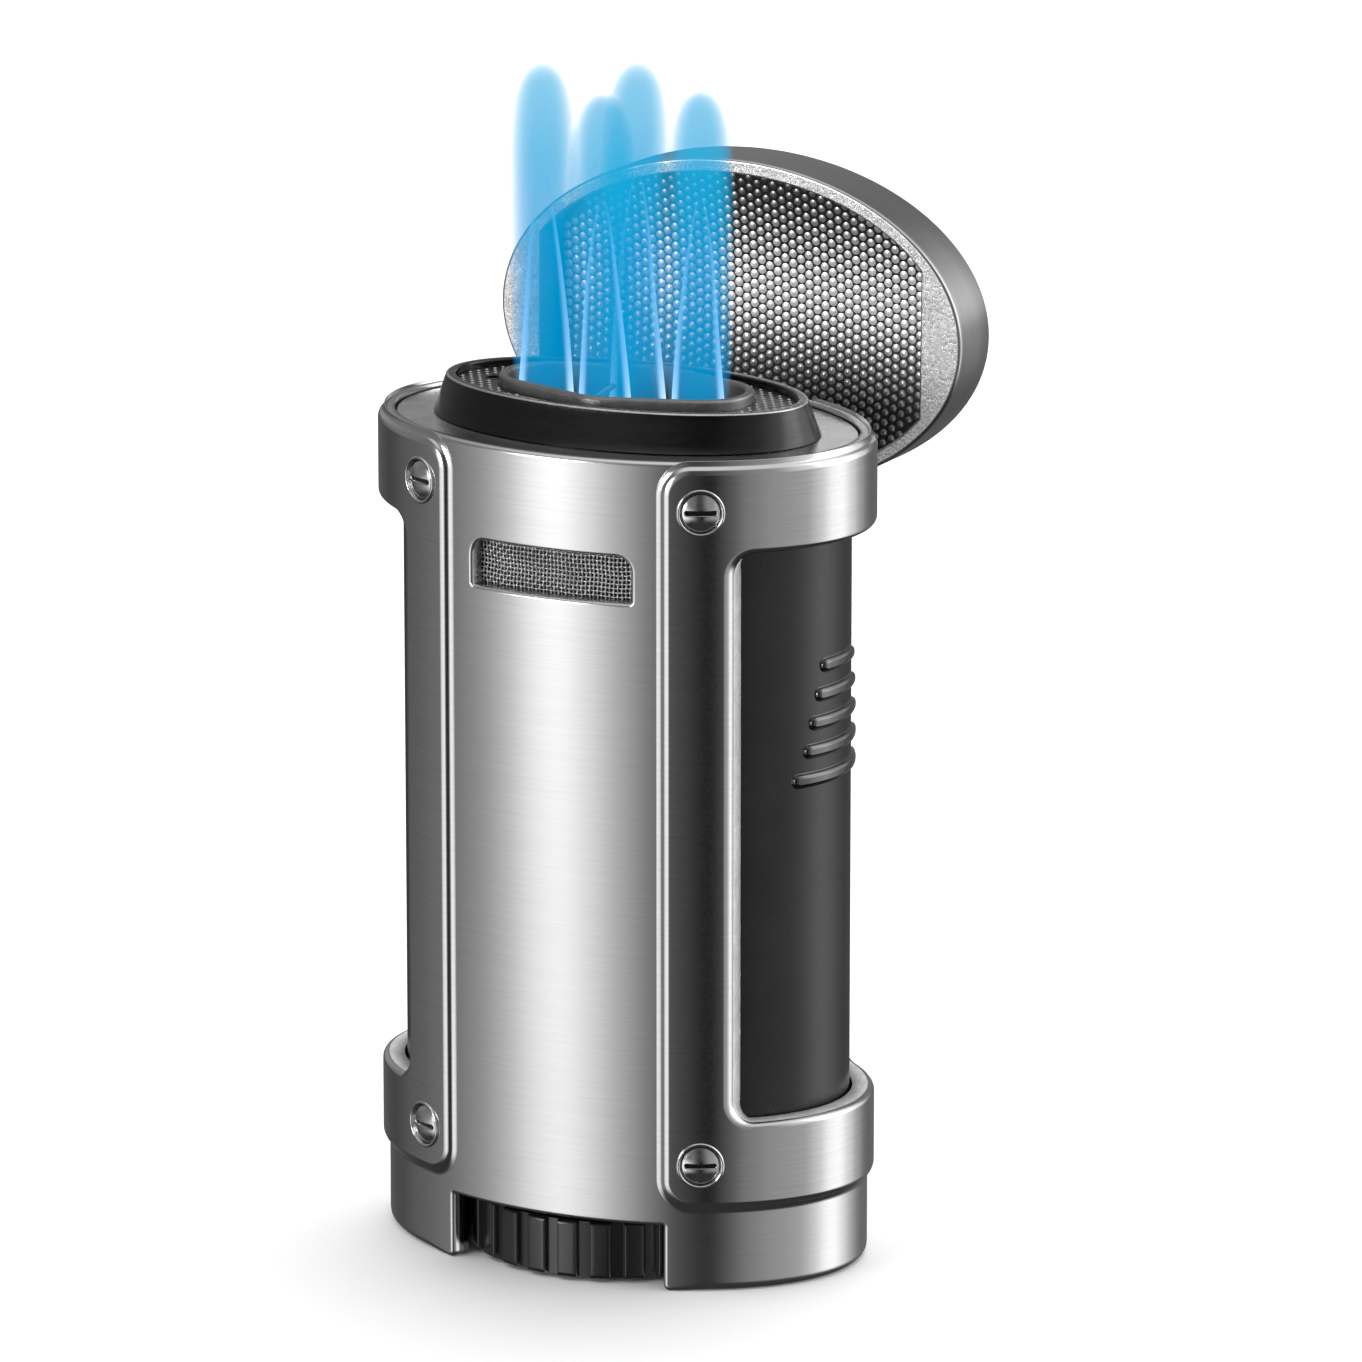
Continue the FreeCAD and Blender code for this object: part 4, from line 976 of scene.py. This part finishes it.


# ---------------- valve springs, each with a mesh of its own
def build_spring(node, turns):
    low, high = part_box(node)
    middle = (low + high) / 2 / MM
    wire = 0.15
    r = (high.x - low.x) / 2 / MM - wire
    a = np.linspace(0, 2 * math.pi * turns, int(turns * 36))
    z = np.linspace(low.z / MM + wire, high.z / MM - wire, len(a))
    b = Build()
    tube(b, np.stack([middle.x + r * np.cos(a), middle.y + r * np.sin(a), z], 1), wire, 10)
    spring = b.finish(node, [PLAIN_STEEL], "body")
    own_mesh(spring)


build_spring("valve_spring", 2.0)
build_spring("refill_valve_spring", 4.8)

# ---------------- lid, built closed and swung open
swing = np.array(Matrix.Rotation(math.radians(-LID_OPEN_DEG), 3, "X"))
LID_TURN = (swing, np.array([0, HINGE_Y, HINGE_Z]))


def cut_ellipse(ax, ay, x_cut):
    """Oval with straight ends at x = +-x_cut."""
    t = math.asin(x_cut / ax)
    a = np.linspace(-t, t, 70)
    low = np.stack([ax * np.sin(a), -ay * np.cos(a)], 1)
    y = low[-1][1]
    right = np.stack([np.full(14, x_cut), np.linspace(y, -y, 16)[1:-1]], 1)
    return np.concatenate([low, right, -low, -right])


def fixed_fillet(r, steps):
    return [(i * r, 0, h * r, 0) for i, h in fillet(steps)]


def build_lid():
    b = Build()
    height, depth = LID_Z1 - LID_Z0, POCKET_Z - LID_Z0
    quarter = np.linspace(math.pi / 2, 0, 8)
    wall = [(0, LID_FILLET * (1 - math.cos(t)), 0, -height + LID_FILLET * (1 - math.sin(t))) for t in quarter]
    wall += [(0, 0, 0, -height * f) for f in (0.6, 0.3, 0.1)] + fixed_fillet(0.28, 4)
    lip = [(0, 0, 0, -depth), (0, 0, 0, -0.25)] + fixed_fillet(0.2, 3)
    oval = ellipse(LID_AX, LID_AY, 260)
    pocket = cut_ellipse(LID_AX - LID_WALL, LID_AY - LID_WALL, POCKET_X)
    under = Plane((0, 0, LID_Z0), (1, 0, 0), (0, -1, 0))
    contours = [(oval, wall, 1.0, None), (pocket[::-1].copy(), lip, 1.0, None)]
    plate(b, under, contours, (0.8, 0.8), back=False, mat=1, wall_mat=0)
    top = Plane((0, 0, LID_Z1), (1, 0, 0), (0, 1, 0))
    top_edge = [(0, LID_FILLET, 0, -0.0001), (0, LID_FILLET, 0, 0)]
    plate(b, top, [(oval, top_edge, 1.0, None)], (1.5, 1.5), back=False)
    floor = Plane((0, 0, POCKET_Z), (1, 0, 0), (0, -1, 0))
    plate(b, floor, [(pocket, [(0, 0, 0, -0.0001), (0, 0.01, 0, 0)], 1.0, None)], (2, 2), back=False)

    tongue, side = Build(), Oval(LID_AX, LID_AY)
    reach = side.at_x(TONGUE_X)
    loop = rectangle(-reach, reach, TONGUE_Z0, LID_Z0 + 0.2, 0.4, (0.5, 2))
    plate(tongue, side, [(loop, walled(LID_WALL, 3), 0.2, None)], (0.5, 2))
    for rows in tongue.co + tongue.no:
        rows[:, :2] *= -1
    b.add(np.concatenate(tongue.co), tongue.faces, np.concatenate(tongue.no))
    b.finish("lid_shell", [LID, RIM], "lid", LID_TURN)


def build_heat_plate():
    """Bowed plate with rows of dimples, which are smaller away from the band over the jets where the dimples
    are painted bright.
    """
    b = Build()
    pitch, r, height, margin = 0.855, 0.4, 0.075, 0.3

    def bow(u, v):
        rest = np.sqrt(PLATE_BEND_R ** 2 - v ** 2)
        return PLATE_BEND_R - rest, np.zeros_like(u), v / rest

    ax, ay = LID_AX - LID_WALL - 0.05, LID_AY - LID_WALL - 0.05
    face = Plane((0, 0, PLATE_Z), (1, 0, 0), (0, -1, 0))
    edge = [(0, 0, 0, -0.3), (0, 0.02, 0, 0)]
    loop = cut_ellipse(ax, ay, POCKET_X - 0.05)
    plate(b, face, [(loop, edge, 1.0, None)], (1.0, 0.6), back=False, crown=bow)
    for i in range(-25, 26):
        x = i * pitch * math.sqrt(3) / 2
        if abs(x) > POCKET_X - 0.35:
            continue
        for j in range(-16, 17):
            y = (j + 0.5 * (i % 2)) * pitch
            if (x / (ax - margin)) ** 2 + (y / (ay - margin)) ** 2 < 1:
                tilt = math.asin(y / PLATE_BEND_R)
                drop = PLATE_BEND_R * (1 - math.cos(tilt))
                away = min(1, abs(y - PAINTED_BAND_Y) / 10)
                dome(b, np.array([x, y, PLATE_Z - drop]), (0, -math.sin(tilt), -math.cos(tilt)),
                     r * (1 - 0.25 * away), height, 10)
    b.finish("lid_heat_plate", [DOT_GAP_SHADE, DOT], "lid", LID_TURN, 50)


build_lid()
build_heat_plate()

# ---------------- jet flames above the burner, with the lid built open
FLAME_FOOT, FLAME_RAMP = 69.5, (70.0, 101.0)
FLAMES = ((-7.6, 0, 100.8, 3.1), (-0.5, -3.2, 99.4, 3.0), (-0.6, 3.2, 100.9, 3.1), (6.75, 0, 99.7, 3.0))


def flame_material(name, stops, covers, facing, power):
    """Glow that covers more or less of what is behind it, by height and by how squarely it is seen."""
    mat = bpy.data.materials.new(name)
    n = Nodes(mat, clear=True)
    split = n.node("SeparateXYZ", {0: n.node("TexCoord", {}).outputs["Object"]})
    height = n.range(split.outputs[2], 0, 1, *(z * MM for z in FLAME_RAMP))
    colour = n.ramp(height, stops)
    cover = n.ramp(height, [(place, (value,) * 3) for place, value in covers])
    turned = n.node("LayerWeight", {"Blend": 0.5}).outputs["Facing"]
    square = n.range(turned, 0, 1, *facing, kind="SMOOTHSTEP")
    front = n.math("SUBTRACT", 1.0, n.node("NewGeometry", {}).outputs["Backfacing"])
    share = n.math("MULTIPLY", n.math("MULTIPLY", square, cover), front)
    clear = n.node("BsdfTransparent", {}).outputs[0]
    glow = n.node("Emission", {"Color": colour, "Strength": power}).outputs[0]
    n.node("OutputMaterial", {0: n.node("MixShader", {0: share, 1: clear, 2: glow}).outputs[0]})
    return mat


def build_flames():
    haze = flame_material(
        "jet_flame", ((0.0, (0.0, 0.22, 0.5)), (0.2, (0.0, 0.32, 0.66)), (0.5, (0.0, 0.34, 0.7)),
                      (0.75, (0.01, 0.42, 0.74)), (1.0, (0.08, 0.5, 0.78))),
        ((0.0, 0.6), (0.15, 0.84), (0.5, 0.88), (0.75, 0.9), (0.95, 0.86), (1.0, 0.75)), (0.9, 0.0), 1.0)
    cone = flame_material(
        "jet_cone", ((0.0, (0.4, 0.65, 1.0)), (1.0, (0.4, 0.65, 1.0))), ((0.0, 0.8), (0.5, 0.7), (0.7, 0.2)),
        (0.25, 0.5), 2.2)

    def haze_width(t):
        return (0.7 + 0.3 * min(1, t / 0.25)) * max(0.0004, 1 - t ** 11) ** 0.5

    def cone_width(t):
        return 0.82 * max(0.0004, 1 - t) ** 0.55

    parts = (("haze", haze, haze_width, 1.0), ("cone", cone, cone_width, 0.7))
    for k, (x, y, tip, r) in enumerate(FLAMES):
        for name, material, width, reach in parts:
            b = Build()
            rings = []
            for t in 1 - np.linspace(1, 0, 34) ** 1.6:
                loop = circle(x + 0.12 * math.sin(5 * t + k), y, r * width(t), 32)
                rings.append(at_height(loop, FLAME_FOOT + (tip - FLAME_FOOT) * reach * t))
            loft(b, rings, caps=True)
            obj = new_object("flame_%s_%d" % (name, k + 1), np.concatenate(b.co), b.faces, [material])
            obj.visible_shadow = obj.visible_glossy = obj.visible_diffuse = False
            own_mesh(obj)


build_flames()

# ---------------- floor, light, camera
FLOOR_HALF = 6000
FLOOR = Shader("floor_pale", (0.84, 0.84, 0.84), 0.0, 0.9, specular_ior_level=0.0).mat
corners = [(sx * FLOOR_HALF, sy * FLOOR_HALF, 0) for sx, sy in ((-1, -1), (1, -1), (1, 1), (-1, 1))]
floor = new_object("floor", corners, [(0, 1, 2, 3)], [FLOOR])
floor.visible_glossy = False

# Brightness by compass direction in degrees, with 0 at -Y and 90 at +X, below and above the horizon.
LOW_BAND = ((-180, 0.16), (-140, 0.12), (-110, 0.08), (-88, 0.15), (-68, 0.22), (-54, 0.36), (-42, 0.63),
            (-32, 1.08), (-22, 1.38), (-13, 1.07), (-3, 0.62), (8, 0.28), (17, 0.09), (32, 0.01), (40, 0.12),
            (50, 0.3), (65, 0.42), (85, 0.5), (97, 0.85), (110, 1.5), (120, 1.6), (133, 1.0), (146, 0.5),
            (160, 0.22), (170, 0.16), (180, 0.16))
HIGH_BAND = ((-180, 0.2), (-155, 0.25), (-130, 0.35), (-105, 0.25), (-60, 0.2), (-40, 0.25), (-20, 0.3),
             (0, 0.2), (25, 0.06), (60, 0.35), (90, 1.0), (105, 2.6), (120, 3.0), (135, 1.6), (150, 1.1),
             (165, 0.35), (180, 0.2))


def studio_world():
    """Soft studio surroundings: two bands of walls between a dark floor and a bright ceiling."""
    world = bpy.data.worlds.new("studio")
    bpy.context.scene.world = world
    n = Nodes(world, clear=True)
    way = n.node("SeparateXYZ", {0: n.node("TexCoord", {}).outputs["Generated"]}).outputs
    azimuth = n.math("ARCTAN2", way[0], n.math("MULTIPLY", way[1], -1.0))
    turn = n.math("ADD", n.math("MULTIPLY", azimuth, 0.5 / math.pi), 0.5)

    def band(stops):
        return n.ramp(turn, [((degrees + 180) / 360, (value,) * 3) for degrees, value in stops], "EASE")

    def by_height(low, high, under, over):
        return n.mix(n.range(way[2], 0, 1, low, high, "SMOOTHSTEP"), under, over)

    walls = by_height(-0.12, 0.12, band(LOW_BAND), band(HIGH_BAND))
    walls = by_height(-0.65, -0.42, (0.04, 0.04, 0.04, 1), walls)
    sky = by_height(0.6, 0.95, walls, (0.9, 0.9, 0.9, 1))
    seen = n.node("Background", {"Color": sky})
    plain = n.node("Background", {"Color": (0.95, 0.95, 0.95, 1)})
    camera_ray = n.node("LightPath", {}).outputs["Is Camera Ray"]
    choice = n.node("MixShader", {0: camera_ray, 1: seen.outputs[0], 2: plain.outputs[0]})
    n.node("OutputWorld", {0: choice.outputs[0]})


studio_world()


def lamp(name, at, size, watts, glossy=False):
    """Round lamp aimed at the middle of the object, in metres."""
    data = bpy.data.lights.new(name, "AREA")
    data.shape, data.size, data.energy = "DISK", size, watts
    obj = bpy.data.objects.new(name, data)
    bpy.context.scene.collection.objects.link(obj)
    obj.location = at
    obj.rotation_mode = "QUATERNION"
    obj.rotation_quaternion = (Vector((0, 0, 0.04)) - Vector(at)).to_track_quat("-Z", "Y")
    obj.visible_glossy = glossy


lamp("overhead", (-0.12, 0.6, 1.1), 1.2, 13.0)
lamp("fill", (-0.7, -0.6, 1.0), 1.2, 6.0)
lamp("front", (-0.478, -0.98, 0.25), 0.45, 4.0, True)

# BACK points from the object to the camera. The distances are from the origin, in millimetres.
CAMERA_FAR, CAMERA_RIGHT, CAMERA_UP = 817.95, 4.557, 46.832
BACK = Vector((0.42845, -0.86530, 0.26014))
RIGHT = Vector((0.89616, 0.44373, 0.0))
UP = BACK.cross(RIGHT)
camera_data = bpy.data.cameras.new("camera")
camera_data.sensor_width = 36.0
camera_data.lens = 253.64
camera_data.clip_start, camera_data.clip_end = 0.05, 30.0
camera = bpy.data.objects.new("camera", camera_data)
bpy.context.scene.collection.objects.link(camera)
eye = (BACK * CAMERA_FAR + RIGHT * CAMERA_RIGHT + UP * CAMERA_UP) * MM
camera.matrix_world = Matrix.Translation(eye) @ Matrix((RIGHT, UP, BACK)).transposed().to_4x4()
bpy.context.scene.camera = camera
bpy.context.scene.view_settings.view_transform = "Standard"
